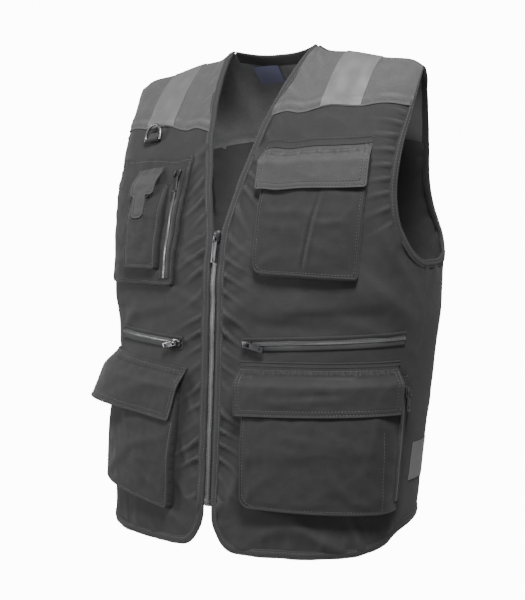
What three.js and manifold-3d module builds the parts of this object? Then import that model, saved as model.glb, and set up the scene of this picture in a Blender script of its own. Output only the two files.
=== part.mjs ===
// A sleeveless utility work vest of dark grey twill, in the form it has on a torso.
// Millimetres, +Z up, the front faces -Y and the wearer's left is +X.
// The origin lies midway between the shoulders at the height where the vest rests on them.
import * as THREE from 'three';
import { mergeVertices } from 'three/addons/utils/BufferGeometryUtils.js';
import Module from 'manifold-3d';

const wasm = await Module();
wasm.setup();

// Size of the vest on the torso
const HALF_WIDTH = 236;
const FRONT_DEPTH = 134;
const BACK_DEPTH = 140;
const CHEST_DROP = 330;
const HEM_DROP = 638;
const SHOULDER_ROUND = 1.6;
const FLANK_SQUARE = 2.6;
const SHOULDER_SQUARE = 4;

// Cloth and the gaps between pieces
const TWILL = 1.6;
const BINDING = 2.8;
const BINDING_WIDTH = 11;
const GAP = 0.3;

// Front opening, neck and armholes
const ZIP_GAP = 13;
const NECK_HALF = 66;
const NECK_DROP = 234;
const BACK_NECK_DROP = 9;
const ZIP_END_DROP = 582;
const CORNER_WIDTH = 44;
const ARMHOLE_DROP = 258;
const ARMHOLE_FRONT_REACH = 73;
const ARMHOLE_BACK_REACH = 130;
const SIDE_HEM_RISE = 26;

// Yokes and reflective tape
const YOKE_INNER_DROP = 102;
const YOKE_OUTER_DROP = 64;
const YOKE_STEP = 8;
const BACK_YOKE_DROP = 108;
const TAPE = 1;
const TAPE_WIDTH = 48;
const TAPE_INNER = 114;
const TAPE_FOOT = 16;
const TAPE_BACK_FOOT = 3;
const TAPE_SLANT = 16;
const BAND_DROP = 496;
const BAND_WIDTH = 48;
const BAND_START = 22;

// Cloth thickness of the pockets and how far the flaps stand off them
const POCKET_WALL = 1.6;
const FLAP = 1.8;
const LIFT = 1.4;
const CHEST_DEPTH = 13;
const CARGO_DEPTH = 18;
const RIGHT_DEPTH = 14;
const GUSSET_FOOT = 3;
const RIGHT_FLAP_STAND = 27;
const MAP_DEPTH = 5;
const PHONE_DEPTH = 9;

// Fields on the fronts: girth from the centre front to the inner edge, width and drop of the
// top edge, height of the inner edge, rise of the outer end of the top and of the base, lean
// of the lower edge outwards, spread of the lower edge, and steps across and down
const FIELDS = {
  chest_band: { inner: 55, width: 136, drop: 123, height: 10, rise: 22, baseRise: 22, across: 7, down: 1 },
  chest_flap: { inner: 55, width: 136, drop: 135, height: 51, rise: 22, baseRise: 16, lean: 4, across: 6, down: 4 },
  chest_pocket: { inner: 61, width: 134, drop: 152, height: 132, rise: 20, baseRise: -2, lean: 5, across: 7, down: 5 },
  cargo_strip: { inner: 46, width: 226, drop: 391, height: 6, rise: 4, baseRise: 4, across: 10, down: 1 },
  left_cargo_flap: { inner: 46, width: 222, drop: 397.3, height: 63, rise: 4, baseRise: 8, lean: 4, across: 9, down: 4 },
  left_cargo_pocket: { inner: 56, width: 236, drop: 412, height: 165, rise: 5, lean: 8, spread: 6, across: 10, down: 5 },
  right_cargo_flap: { inner: 42, width: 186, drop: 406, height: 70, rise: 18, baseRise: 20, lean: 22, across: 7, down: 4 },
  right_cargo_pocket: { inner: 54, width: 178, drop: 428, height: 166, rise: 20, baseRise: 26, lean: 8, across: 7, down: 5 },
  map_pocket: { inner: 59, width: 138, drop: 141, height: 160, rise: 20, baseRise: 6, lean: 8, across: 7, down: 5 },
  phone_pocket: { inner: 91, width: 64, drop: 171, height: 109, rise: 8, baseRise: 3, across: 4, down: 4 },
};

// The T-shaped flap over the phone pocket, by its edges
const T_FLAP = { inner: 108, outer: 147, drop: 146, shoulderDrop: 184, tongueInner: 119, tongueOuter: 140, tongueDrop: 213 };

// Zips
const CHAIN_WIDTH = 5;
const CHAIN = 2;
const ZIP_TAPE = 1;
const MAIN_TAPE_WIDTH = 11;
const POCKET_TAPE_WIDTH = 16;
const SLIDER_WIDTH = 9;
const SLIDER_LENGTH = 13;
const SLIDER_PLATE = 1.4;
const BRIDGE_WIDTH = 2;
const BRIDGE_HEIGHT = 4.6;
const BRIDGE_LENGTH = 7;
const BRIDGE_BAR = 1.3;
const PULL = 1.6;
const PULL_WIDTH = 7.6;
const PULL_WINDOW = 5;
const PULL_BAR = 1.5;
const WINDOW_LENGTH = 5.4;
const PULL_HOLE = 3;
const PIVOT_HEIGHT = 1.5;
const END_BOX_LENGTH = 9;
const END_BOX_WIDTH = 10;

// Pocket zips: the end that the slider is at and the other end as girth and drop, length of the
// pull, how far the pull is turned off the zip in degrees, and steps along
const POCKET_ZIPS = {
  left_pocket_zip: { side: 1, girth: 52, drop: 370, endGirth: 272, endDrop: 359, pull: 28, yaw: -16, steps: 9 },
  right_pocket_zip: { side: -1, girth: 52, drop: 373, endGirth: 185, endDrop: 364, pull: 24, yaw: 18, steps: 9 },
  map_pocket_zip: { side: -1, girth: 76, drop: 156, endGirth: 81, endDrop: 290, pull: 28, yaw: 16, steps: 6 },
  side_pocket_zip: { side: 1, girth: 281, drop: 420, endGirth: 293, endDrop: 562, pull: 24, yaw: 0, steps: 6 },
};
const MAIN_PULL = 34;

// D-ring, its tab and the neck label
const RING_WIRE = 4;
const RING_WIDTH = 34;
const RING_HEIGHT = 26;
const RING_GIRTH = -141;
const RING_DROP = 103;
const RING_LEAN = 10;
const TAB_WIDTH = 24;
const TAB_PLY = 1.4;
const TAB_LENGTH = 11;
const LABEL_WIDTH = 42;
const LABEL_HEIGHT = 30;
const LABEL = 0.8;
const LABEL_OFFSET = 32;
const LABEL_DROP = 3;

const COLOURS = {
  twill: { color: 0x4a4a4b, roughness: 0.85, metalness: 0 },
  yoke: { color: 0x505051, roughness: 0.85, metalness: 0 },
  binding: { color: 0x444445, roughness: 0.8, metalness: 0 },
  pocket: { color: 0x47474a, roughness: 0.85, metalness: 0 },
  reflective: { color: 0xa4a4a2, roughness: 0.4, metalness: 0 },
  zip_tape: { color: 0x2e2e30, roughness: 0.9, metalness: 0 },
  zip_metal: { color: 0x3a3a3b, roughness: 0.4, metalness: 0.7 },
  ring_metal: { color: 0x3c3c3c, roughness: 0.35, metalness: 0.8 },
  label: { color: 0x1c1c30, roughness: 0.8, metalness: 0 },
};

// Sections below the chest: level 0 is the chest line, 1 the hem
const FLANK = [
  { level: 0, width: 1, front: 1, back: 1, shift: 0 },
  { level: 0.4, width: 0.96, front: 1.05, back: 0.96, shift: 0.1 },
  { level: 0.8, width: 0.933, front: 1.1, back: 0.86, shift: 0.19 },
  { level: 1, width: 0.915, front: 1.12, back: 0.8, shift: 0.21 },
];

// Height of the shoulder ridge above the origin, from the neck out to the shoulder point
const RIDGE = [
  { at: 0, rise: 0.11 },
  { at: 0.29, rise: 0.098 },
  { at: 0.38, rise: 0.055 },
  { at: 0.54, rise: 0.034 },
  { at: 0.74, rise: -0.01 },
  { at: 0.92, rise: -0.036 },
  { at: 1, rise: -0.08 },
];

// Armhole from the shoulder ridge down to the side seam, as shares of its reach and drop
const ARMHOLE_FRONT = [
  { reach: 0.73, drop: 0 },
  { reach: 0.82, drop: 0.12 },
  { reach: 0.9, drop: 0.248 },
  { reach: 0.985, drop: 0.4 },
  { reach: 1, drop: 0.59 },
  { reach: 0.85, drop: 0.79 },
  { reach: 0.52, drop: 0.92 },
  { reach: 0.22, drop: 0.98 },
  { reach: 0, drop: 1 },
];
const ARMHOLE_BACK = [
  { reach: 0.41, drop: 0 },
  { reach: 0.44, drop: 0.025 },
  { reach: 0.66, drop: 0.1 },
  { reach: 0.8, drop: 0.2 },
  { reach: 0.95, drop: 0.42 },
  { reach: 1, drop: 0.61 },
  { reach: 0.92, drop: 0.77 },
  { reach: 0.7, drop: 0.9 },
  { reach: 0.38, drop: 0.985 },
  { reach: 0, drop: 1 },
];

// Broad folds of the cloth: where each lies (share of the half girth, drop as a share of the
// hem drop), how far it runs and spreads, its height off the form, and its turn in degrees
const FOLDS = [
  { at: 0.07, drop: 0.43, run: 0.07, spread: 0.022, height: 3.4, turn: 32 },
  { at: 0.075, drop: 0.5, run: 0.08, spread: 0.02, height: 3, turn: 38 },
  { at: 0.19, drop: 0.5, run: 0.16, spread: 0.03, height: 4, turn: 8 },
  { at: 0.37, drop: 0.49, run: 0.1, spread: 0.03, height: 4.5, turn: -28 },
  { at: 0.06, drop: 0.9, run: 0.07, spread: 0.026, height: 3, turn: 60 },
  { at: 0.3, drop: 0.955, run: 0.1, spread: 0.022, height: 4, turn: -12 },
  { at: -0.06, drop: 0.44, run: 0.06, spread: 0.022, height: 3, turn: -30 },
  { at: -0.065, drop: 0.53, run: 0.06, spread: 0.022, height: 3, turn: -40 },
  { at: -0.33, drop: 0.49, run: 0.12, spread: 0.06, height: 6, turn: 6 },
  { at: -0.07, drop: 0.86, run: 0.09, spread: 0.026, height: 3.4, turn: -58 },
  { at: -0.2, drop: 0.96, run: 0.1, spread: 0.022, height: 3, turn: 10 },
  { at: 0.78, drop: 0.62, run: 0.2, spread: 0.05, height: 5, turn: 78 },
  { at: -0.78, drop: 0.6, run: 0.2, spread: 0.05, height: 5, turn: -78 },
  { at: 1, drop: 0.42, run: 0.16, spread: 0.06, height: -4, turn: 4 },
  { at: 0.9, drop: 0.86, run: 0.12, spread: 0.05, height: 5, turn: 84 },
  { at: -0.9, drop: 0.84, run: 0.12, spread: 0.05, height: 5, turn: -84 },
];

// A column of a table at any place between its rows, on a smooth curve
function along(table, key, column, at) {
  const last = table.length - 1;
  if (at <= table[0][key]) return table[0][column];
  if (at >= table[last][key]) return table[last][column];
  let row = 0;
  while (table[row + 1][key] < at) row += 1;
  const slope = (i, j) => (table[j][column] - table[i][column]) / (table[j][key] - table[i][key]);
  const from = table[row];
  const to = table[row + 1];
  const span = to[key] - from[key];
  const t = (at - from[key]) / span;
  const leave = slope(Math.max(row - 1, 0), row + 1) * span;
  const arrive = slope(row, Math.min(row + 2, last)) * span;
  const ease = t * t * (3 - 2 * t);
  const lead = t * (1 - t) * (1 - t);
  const trail = -t * t * (1 - t);
  return from[column] * (1 - ease) + to[column] * ease + leave * lead + arrive * trail;
}

const lerp = (from, to, share) => from + (to - from) * share;
const mix = (a, b, share) => [lerp(a[0], b[0], share), lerp(a[1], b[1], share)];
const smooth = (from, to, at) => THREE.MathUtils.smoothstep((at - from) / (to - from), 0, 1);

// The form that the cloth lies on: turn is the direction round the body from the centre front,
// height is 0 on the shoulder ridge and falls to the hem
function form(turn, height) {
  const level = Math.max(0, -height - CHEST_DROP) / (HEM_DROP - CHEST_DROP);
  const lift = Math.min(1, Math.max(0, (height + CHEST_DROP) / CHEST_DROP));
  const square = lerp(FLANK_SQUARE, SHOULDER_SQUARE, Math.min(1, lift * 1.3));
  const sine = Math.sin(turn);
  const cosine = Math.cos(turn);
  const reach = (Math.abs(sine) ** square + Math.abs(cosine) ** square) ** (-1 / square);
  const x = HALF_WIDTH * along(FLANK, 'level', 'width', level) * reach * sine;
  const side = -HALF_WIDTH * along(FLANK, 'level', 'shift', level);
  const front = FRONT_DEPTH * along(FLANK, 'level', 'front', level) + side;
  const back = BACK_DEPTH * along(FLANK, 'level', 'back', level) - side;
  const round = (1 - lift * lift) ** (SHOULDER_ROUND / 2);
  const y = side - (cosine > 0 ? front : back) * reach * cosine * round;
  const ridge = HALF_WIDTH * along(RIDGE, 'at', 'rise', Math.abs(x) / HALF_WIDTH);
  const z = lift > 0 ? lerp(-CHEST_DROP, ridge, lift) : height;
  return new THREE.Vector3(x, y, z);
}

// Distance round the chest line, which turns a girth in millimetres into a direction
const GIRTH_STEPS = 720;
const girths = [0];
for (let step = 1; step <= GIRTH_STEPS; step += 1) {
  const from = form(Math.PI * (step - 1) / GIRTH_STEPS, -CHEST_DROP);
  const to = form(Math.PI * step / GIRTH_STEPS, -CHEST_DROP);
  girths.push(girths[step - 1] + from.distanceTo(to));
}
const HALF_GIRTH = girths[GIRTH_STEPS];
const SIDE_SEAM = girths[GIRTH_STEPS / 2];

function turnAt(girth) {
  const past = Math.abs(girth) > HALF_GIRTH;
  const reach = past ? 2 * HALF_GIRTH - Math.abs(girth) : Math.abs(girth);
  let step = 0;
  while (step < GIRTH_STEPS - 1 && girths[step + 1] < reach) step += 1;
  const share = (reach - girths[step]) / (girths[step + 1] - girths[step]);
  const turn = Math.PI * (step + share) / GIRTH_STEPS;
  return Math.sign(girth) * (past ? 2 * Math.PI - turn : turn);
}

// The girth on the back that meets a girth of the front at the shoulder ridge
function behind(girth) {
  const turn = Math.PI - turnAt(girth);
  const step = turn / Math.PI * GIRTH_STEPS;
  const whole = Math.min(GIRTH_STEPS - 1, Math.floor(step));
  return lerp(girths[whole], girths[whole + 1], step - whole);
}

function drape(girth, height) {
  let off = 0;
  for (const fold of FOLDS) {
    let across = girth - fold.at * HALF_GIRTH;
    if (across > HALF_GIRTH) across -= 2 * HALF_GIRTH;
    if (across < -HALF_GIRTH) across += 2 * HALF_GIRTH;
    const down = height + fold.drop * HEM_DROP;
    const angle = THREE.MathUtils.degToRad(fold.turn);
    const run = (across * Math.cos(angle) + down * Math.sin(angle)) / (fold.run * HALF_GIRTH);
    const spread = (down * Math.cos(angle) - across * Math.sin(angle)) / (fold.spread * HALF_GIRTH);
    off += fold.height * Math.exp(-run * run - spread * spread);
  }
  return off;
}

// A point on the vest: girth round the body, height, and distance off the middle of the cloth.
// Front and back are set half a gap apart, which leaves the side and shoulder seams open.
function place(girth, height, out) {
  const turn = turnAt(girth);
  const front = Math.abs(girth) < SIDE_SEAM || Math.abs(girth) > 2 * HALF_GIRTH - SIDE_SEAM;
  const step = 0.4;
  const top = Math.min(0, height);
  const point = form(turn, top);
  const low = form(turn, top - step);
  const high = form(turn, Math.min(0, top + step));
  const across = form(turn + 0.001, top - 0.01).sub(form(turn - 0.001, top - 0.01));
  const normal = across.cross(high.sub(low)).normalize();
  const upright = new THREE.Vector3(0, 0, 1);
  normal.lerp(upright, smooth(-step * 4, 0, top)).normalize();
  point.addScaledVector(normal, out + drape(girth, height));
  point.y += (front ? -1 : 1) * GAP / 2;
  return point;
}

// Closed geometry from shared points and triangles, turned to face outwards
function closed(points, faces) {
  let volume = 0;
  for (const [a, b, c] of faces) {
    volume += points[a].dot(points[b].clone().cross(points[c]));
  }
  const geometry = new THREE.BufferGeometry();
  geometry.setAttribute('position', new THREE.Float32BufferAttribute(points.flatMap((p) => p.toArray()), 3));
  geometry.setIndex(faces.flatMap(([a, b, c]) => (volume > 0 ? [a, b, c] : [a, c, b])));
  return geometry;
}

const SPLIT = new THREE.Vector3(1, 2, 4);

// A sheet: spot gives girth and height at two shares, low and high give its two faces.
// Where keep is given, only the cells that it names are made.
function sheet({ spot, across, down, low, high, keep = () => true, on = place }) {
  const value = (side, u, v, girth, height) => (typeof side === 'function' ? side(u, v, girth, height) : side);
  const kept = (i, j) => i >= 0 && j >= 0 && i < across && j < down && keep(i, j);
  const points = [];
  const indices = new Map();
  const index = (i, j, layer) => {
    const key = `${i} ${j} ${layer}`;
    if (!indices.has(key)) {
      const u = i / across;
      const v = j / down;
      const [girth, height] = spot(u, v, i, j);
      indices.set(key, points.length);
      points.push(on(girth, height, value(layer ? high : low, u, v, girth, height)));
    }
    return indices.get(key);
  };
  const faces = [];
  // A wall is split from its higher end down, so that the walls of two neighbours match
  const wall = (i, j, k, l) => {
    const [a, b, c, d] = [index(i, j, 0), index(k, l, 0), index(k, l, 1), index(i, j, 1)];
    const rank = points[a].dot(SPLIT) - points[b].dot(SPLIT);
    if (rank > 0) faces.push([a, b, c], [a, c, d]);
    else faces.push([a, b, d], [b, c, d]);
  };
  for (let j = 0; j < down; j += 1) {
    for (let i = 0; i < across; i += 1) {
      if (!kept(i, j)) continue;
      for (const layer of [0, 1]) {
        const ring = [index(i, j, layer), index(i + 1, j, layer), index(i + 1, j + 1, layer), index(i, j + 1, layer)];
        if (!layer) ring.reverse();
        faces.push([ring[0], ring[1], ring[2]], [ring[0], ring[2], ring[3]]);
      }
      if (!kept(i, j - 1)) wall(i, j, i + 1, j);
      if (!kept(i + 1, j)) wall(i + 1, j, i + 1, j + 1);
      if (!kept(i, j + 1)) wall(i + 1, j + 1, i, j + 1);
      if (!kept(i - 1, j)) wall(i, j + 1, i, j);
    }
  }
  return closed(points, faces);
}

function toSolid(geometry) {
  const bare = new THREE.BufferGeometry();
  bare.setAttribute('position', geometry.getAttribute('position').clone());
  if (geometry.index) bare.setIndex(geometry.index.clone());
  const welded = mergeVertices(bare, 1e-5);
  const vertProperties = new Float32Array(welded.getAttribute('position').array);
  const triVerts = new Uint32Array(welded.index.array);
  return new wasm.Manifold(new wasm.Mesh({ numProp: 3, vertProperties, triVerts }));
}

function toGeometry(solid) {
  const mesh = solid.getMesh();
  const geometry = new THREE.BufferGeometry();
  geometry.setAttribute('position', new THREE.BufferAttribute(new Float32Array(mesh.vertProperties), 3));
  geometry.setIndex(new THREE.BufferAttribute(new Uint32Array(mesh.triVerts), 1));
  return geometry;
}

// The largest body of a cut piece, without slivers
function largest(solid) {
  const bodies = solid.decompose();
  return bodies.reduce((best, body) => (body.volume() > best.volume() ? body : best));
}

const vest = new THREE.Group();
function add(name, look, geometry, matrix) {
  const mesh = new THREE.Mesh(geometry, new THREE.MeshStandardMaterial(COLOURS[look]));
  mesh.name = name;
  if (matrix) mesh.applyMatrix4(matrix);
  vest.add(mesh);
  return mesh;
}

// Outlines, as girth and height on the wearer's left

function curve(rows, count) {
  const line = new THREE.CatmullRomCurve3(rows.map(([girth, height]) => new THREE.Vector3(girth, height, 0)));
  return line.getSpacedPoints(count).map((point) => [point.x, point.y]);
}

// A line moved sideways by a distance; its ends keep their direction
function beside(line, distance) {
  return line.map((point, i) => {
    const from = line[Math.max(0, i - 1)];
    const to = line[Math.min(line.length - 1, i + 1)];
    const length = Math.hypot(to[0] - from[0], to[1] - from[1]);
    const girth = point[0] + distance * (to[1] - from[1]) / length;
    const height = point[1] - distance * (to[0] - from[0]) / length;
    return [girth, Math.min(0, height)];
  });
}

const HEM = [
  { at: 0, rise: 0 },
  { at: 0.18, rise: 0.02 },
  { at: 0.36, rise: 0.3 },
  { at: 0.47, rise: 0.75 },
  { at: 0.53, rise: 1.3 },
  { at: 0.62, rise: 1.56 },
  { at: 1, rise: 1.4 },
];
function hemHeight(girth) {
  const reach = Math.abs(girth) / HALF_GIRTH;
  return -HEM_DROP + SIDE_HEM_RISE * along(HEM, 'at', 'rise', reach);
}

const ZIP_HALF = ZIP_GAP / 2;
const frontEdge = (height) => ZIP_HALF + (NECK_HALF - ZIP_HALF) * Math.max(0, 1 + height / NECK_DROP);
const atRidge = (height) => (height > -1e-6 ? 0 : height);

// How many steps each edge has: the pieces on its two sides share them
const HEM_STEPS = 12;
const CORNER_STEPS = 4;
const ZIP_STEPS = 9;
const NECK_STEPS = 5;
const SEAM_STEPS = 8;
const YOKE_STEPS = 5;
const RIDGE_ACROSS = 3;
const BACK_NECK_ACROSS = 6;
const BACK_YOKE_ACROSS = 2 * RIDGE_ACROSS + BACK_NECK_ACROSS;
const ARM_BOTTOM_STEPS = 3;
const ARM_STEPS = ARM_BOTTOM_STEPS + CORNER_STEPS + ZIP_STEPS + NECK_STEPS - SEAM_STEPS;
const BACK_BOTTOM_STEPS = 5;
const BACK_ACROSS = 2 * BACK_BOTTOM_STEPS + BACK_YOKE_ACROSS;

// The rounded lower corner of a front, from the middle of its round
function cornerPoint(share) {
  const bend = share * Math.PI / 2;
  const girth = ZIP_HALF + CORNER_WIDTH * (1 - Math.cos(bend));
  const height = lerp(-ZIP_END_DROP, hemHeight(ZIP_HALF + CORNER_WIDTH), Math.sin(bend));
  return [girth, height];
}
const CORNER_MIDDLE = 0.62;

function hemLine() {
  const start = cornerPoint(1)[0];
  const points = [];
  for (let i = 0; i <= HEM_STEPS; i += 1) {
    if (i < 3) {
      points.push(cornerPoint(lerp(CORNER_MIDDLE, 1, i / 3)));
    } else {
      const girth = lerp(start, SIDE_SEAM, (i - 3) / (HEM_STEPS - 3));
      points.push([girth, hemHeight(girth)]);
    }
  }
  return points;
}

function openingLine(innerDrop) {
  const points = [];
  for (let i = 0; i <= CORNER_STEPS; i += 1) {
    points.push(cornerPoint(CORNER_MIDDLE * (1 - i / CORNER_STEPS)));
  }
  for (let i = 1; i <= ZIP_STEPS; i += 1) {
    points.push([ZIP_HALF, lerp(-ZIP_END_DROP, -NECK_DROP, i / ZIP_STEPS)]);
  }
  for (let i = 1; i <= NECK_STEPS; i += 1) {
    const height = lerp(-NECK_DROP, -innerDrop, i / NECK_STEPS);
    points.push([frontEdge(height), height]);
  }
  return points;
}

// Steps that crowd towards the shoulder ridge, where the cloth turns over
function ridgeHeight(drop, share) {
  const start = Math.asin(1 - drop / CHEST_DROP);
  return atRidge(CHEST_DROP * (Math.sin(lerp(start, Math.PI / 2, share)) - 1));
}

function neckLine(innerDrop) {
  const points = [];
  for (let i = 0; i <= YOKE_STEPS; i += 1) {
    const height = ridgeHeight(innerDrop, i / YOKE_STEPS);
    points.push([frontEdge(height), height]);
  }
  return points;
}

function armholeRows(rows, reach, towards) {
  return rows.map((row) => [SIDE_SEAM + towards * row.reach * reach, -row.drop * ARMHOLE_DROP]);
}

// The point of a falling line at a height
function atHeight(line, height) {
  const next = Math.max(1, line.findIndex((point) => point[1] <= height + 1e-9));
  const [from, to] = [line[next - 1], line[next]];
  return mix(from, to, (height - from[1]) / (to[1] - from[1]));
}

// An armhole curve split where the yoke seam meets it
function armhole(rows, reach, towards, seamDrop) {
  const whole = curve(armholeRows(rows, reach, towards), 200);
  const seam = whole.findIndex((point) => point[1] < -seamDrop);
  const upper = whole.slice(0, seam + 1);
  const lower = whole.slice(seam);
  const spread = Array.from({ length: ARM_STEPS + 1 },
    (unused, i) => lower[Math.round(i * (lower.length - 1) / ARM_STEPS)]);
  const climb = Array.from({ length: YOKE_STEPS + 1 },
    (unused, i) => atHeight(upper, ridgeHeight(-lower[0][1], i / YOKE_STEPS)));
  return { lower: spread.reverse(), upper: climb };
}

// How far along a line each of its points lies, from 0 to 1
function shares(line) {
  const reached = [0];
  for (let i = 1; i < line.length; i += 1) {
    const stretch = Math.hypot(line[i][0] - line[i - 1][0], line[i][1] - line[i - 1][1]);
    reached.push(reached[i - 1] + stretch);
  }
  return reached.map((length) => length / reached[line.length - 1]);
}

// A four-sided patch whose edges are the four given lines
function patch(bottom, top, left, right) {
  const across = bottom.length - 1;
  const down = left.length - 1;
  const [bottomShares, topShares, leftShares, rightShares] = [bottom, top, left, right].map(shares);
  const spot = (u, v, i, j) => [0, 1].map((k) => {
    const over = lerp(bottomShares[i], topShares[i], j / down);
    const up = lerp(leftShares[j], rightShares[j], i / across);
    const sides = lerp(left[j][k], right[j][k], over);
    const ends = lerp(bottom[i][k], top[i][k], up);
    const low = lerp(bottom[0][k], bottom[across][k], over);
    const high = lerp(top[0][k], top[across][k], over);
    return sides + ends - lerp(low, high, up);
  });
  return { spot, across, down };
}

// A panel under an armhole: a lower patch over the whole width, and above it a narrower one.
// beneath and beyond are the steps that the lower patch runs on past the upper one.
function panelShape({ bottom, middle, top, left, right, beneath, beyond }) {
  const rows = middle.row;
  const lower = patch(bottom, middle.line, left.slice(0, rows + 1), right.slice(0, rows + 1));
  const upper = patch(middle.line.slice(beneath, middle.line.length - beyond), top,
    beneath ? middle.leftArm : left.slice(rows), beyond ? middle.rightArm : right.slice(rows));
  const down = rows + upper.down;
  return {
    across: lower.across,
    down,
    keep: (i, j) => j < rows || (i >= beneath && i < lower.across - beyond),
    spot: (u, v, i, j) => {
      if (j <= rows) return lower.spot(i / lower.across, j / rows, i, j);
      const column = i - beneath;
      return upper.spot(column / upper.across, (j - rows) / upper.down, column, j - rows);
    },
  };
}

const mirrored = (side, shape) => ({
  ...shape,
  spot: (u, v, i, j) => {
    const [girth, height] = shape.spot(u, v, i, j);
    return [side * girth, height];
  },
});

// A band between two lines of points that run side by side
function band(inner, outer) {
  return { spot: (u, v, i, j) => mix(inner[j], outer[j], u), across: 1, down: inner.length - 1 };
}

// The line of a yoke seam between two points, with a slight wave
function seamLine(from, to, count, wave) {
  return Array.from({ length: count + 1 }, (unused, i) => {
    const share = i / count;
    const [girth, height] = mix(from, to, share);
    return [girth, height + wave * Math.sin(Math.PI * share)];
  });
}

const SEAM_WAVE = 6;
const FRONT_END = SIDE_SEAM - GAP / 2;
const BACK_START = SIDE_SEAM + GAP / 2;
const raised = (line, rise) => line.map(([girth, height]) => [girth, height + rise]);
const INSET = BINDING_WIDTH + GAP;
const bindingBand = (edge, inner) => band(edge, edge.map((point, i) => mix(point, inner[i], BINDING_WIDTH / INSET)));

// Shell of the vest
const half = TWILL / 2;
const frontShapes = {};
const yokeShapes = {};
const armholes = {};
for (const [side, label] of [[1, 'left'], [-1, 'right']]) {
  const innerDrop = YOKE_INNER_DROP - side * YOKE_STEP;
  const outerDrop = YOKE_OUTER_DROP - side * YOKE_STEP;
  const hem = hemLine();
  const opening = openingLine(innerDrop);
  const neck = neckLine(innerDrop);
  const arm = armhole(ARMHOLE_FRONT, ARMHOLE_FRONT_REACH, -1, outerDrop);

  // Lines inside the binding, one along each edge
  const edge = [...hem.slice().reverse(), ...opening.slice(1), ...neck.slice(1)];
  const inner = beside(edge, INSET);
  const hemInner = inner.slice(0, hem.length).reverse();
  const openingInner = inner.slice(hem.length - 1, hem.length - 1 + opening.length);
  const neckInner = inner.slice(hem.length + opening.length - 2);
  const armEdge = [...arm.lower, ...arm.upper.slice(1)];
  const armInner = beside(armEdge, -INSET);
  const armLower = armInner.slice(0, arm.lower.length);
  const armUpper = armInner.slice(arm.lower.length - 1);

  const seamTop = [FRONT_END, armLower[0][1]];
  const hemSide = hemInner[hemInner.length - 1];
  const sideLine = Array.from({ length: SEAM_STEPS + 1 },
    (unused, i) => mix([FRONT_END, hemSide[1]], seamTop, i / SEAM_STEPS));
  hemInner[hemInner.length - 1] = sideLine[0];
  armLower[0] = seamTop;
  const upAcross = HEM_STEPS - ARM_BOTTOM_STEPS;
  const seam = seamLine(openingInner[openingInner.length - 1], armLower[ARM_STEPS], upAcross, SEAM_WAVE);
  const level = seamLine(openingInner[SEAM_STEPS], armLower[ARM_BOTTOM_STEPS], upAcross, 0);
  const front = mirrored(side, panelShape({
    bottom: hemInner,
    middle: {
      row: SEAM_STEPS,
      line: [...level, ...armLower.slice(0, ARM_BOTTOM_STEPS).reverse()],
      rightArm: armLower.slice(ARM_BOTTOM_STEPS),
    },
    top: seam,
    left: openingInner,
    right: sideLine,
    beneath: 0,
    beyond: ARM_BOTTOM_STEPS,
  }));
  frontShapes[label] = front;
  add(`front_${label}_panel`, 'twill', sheet({ ...front, low: -half, high: half }));

  const yokeSeam = raised(seamLine(neckInner[0], armUpper[0], upAcross, SEAM_WAVE), GAP);
  const yokeLeft = [yokeSeam[0], ...neckInner.slice(1)];
  const yokeRight = [yokeSeam[upAcross], ...armUpper.slice(1)];
  const ridge = seamLine(yokeLeft[YOKE_STEPS], yokeRight[YOKE_STEPS], upAcross, 0);
  const yoke = mirrored(side, patch(yokeSeam, ridge, yokeLeft, yokeRight));
  yokeShapes[label] = yoke;
  add(`front_${label}_yoke`, 'yoke', sheet({ ...yoke, low: -half, high: half }));

  inner[0] = [FRONT_END, inner[0][1]];
  edge[0] = [FRONT_END, edge[0][1]];
  armInner[0] = [FRONT_END, armInner[0][1]];
  armEdge[0] = [FRONT_END, armEdge[0][1]];
  armholes[label] = { edge: armEdge, inner: armInner };
  const bound = mirrored(side, bindingBand(edge, inner));
  add(`${label}_front_binding`, 'binding', sheet({ ...bound, low: -BINDING / 2, high: BINDING / 2 }));
}


// The back is one piece across, so its lines run from the wearer's left to the right
const across = (line) => line.map(([girth, height]) => [2 * HALF_GIRTH - girth, height]);
const wholeLine = (line) => [...line, ...across(line).reverse().slice(1)];

// The height that lies a distance down the cloth from another height
function below(girth, height, distance) {
  const turn = turnAt(girth);
  const stride = 0.1;
  let reached = 0;
  let at = height;
  let from = form(turn, at);
  while (reached < distance) {
    const to = form(turn, at - stride);
    reached += to.distanceTo(from);
    at -= stride;
    from = to;
  }
  return at;
}

const NECK_POINT = behind(NECK_HALF);
function backNeckLine(inset) {
  const points = [];
  for (let i = 0; i <= BACK_NECK_ACROSS / 2; i += 1) {
    const share = i === 0 ? 1 : Math.cos(Math.PI * i / BACK_NECK_ACROSS);
    const girth = HALF_GIRTH - share * (HALF_GIRTH - NECK_POINT + inset);
    const edge = atRidge(-BACK_NECK_DROP * (1 - share ** 2.5));
    const height = share === 1 ? 0 : below(girth, edge, inset * Math.sqrt(1 - share ** 4));
    points.push([girth, height]);
  }
  return wholeLine(points);
}

const backArm = armhole(ARMHOLE_BACK, ARMHOLE_BACK_REACH, 1, BACK_YOKE_DROP);
const backArmEdge = [...backArm.lower, ...backArm.upper.slice(1)];
const backArmInner = beside(backArmEdge, INSET);
const backLower = backArmInner.slice(0, backArm.lower.length);
const backUpper = backArmInner.slice(backArm.lower.length - 1);
backLower[0] = [BACK_START, backLower[0][1]];
backArmInner[0] = [BACK_START, backArmInner[0][1]];
backArmEdge[0] = [BACK_START, backArmEdge[0][1]];

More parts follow.
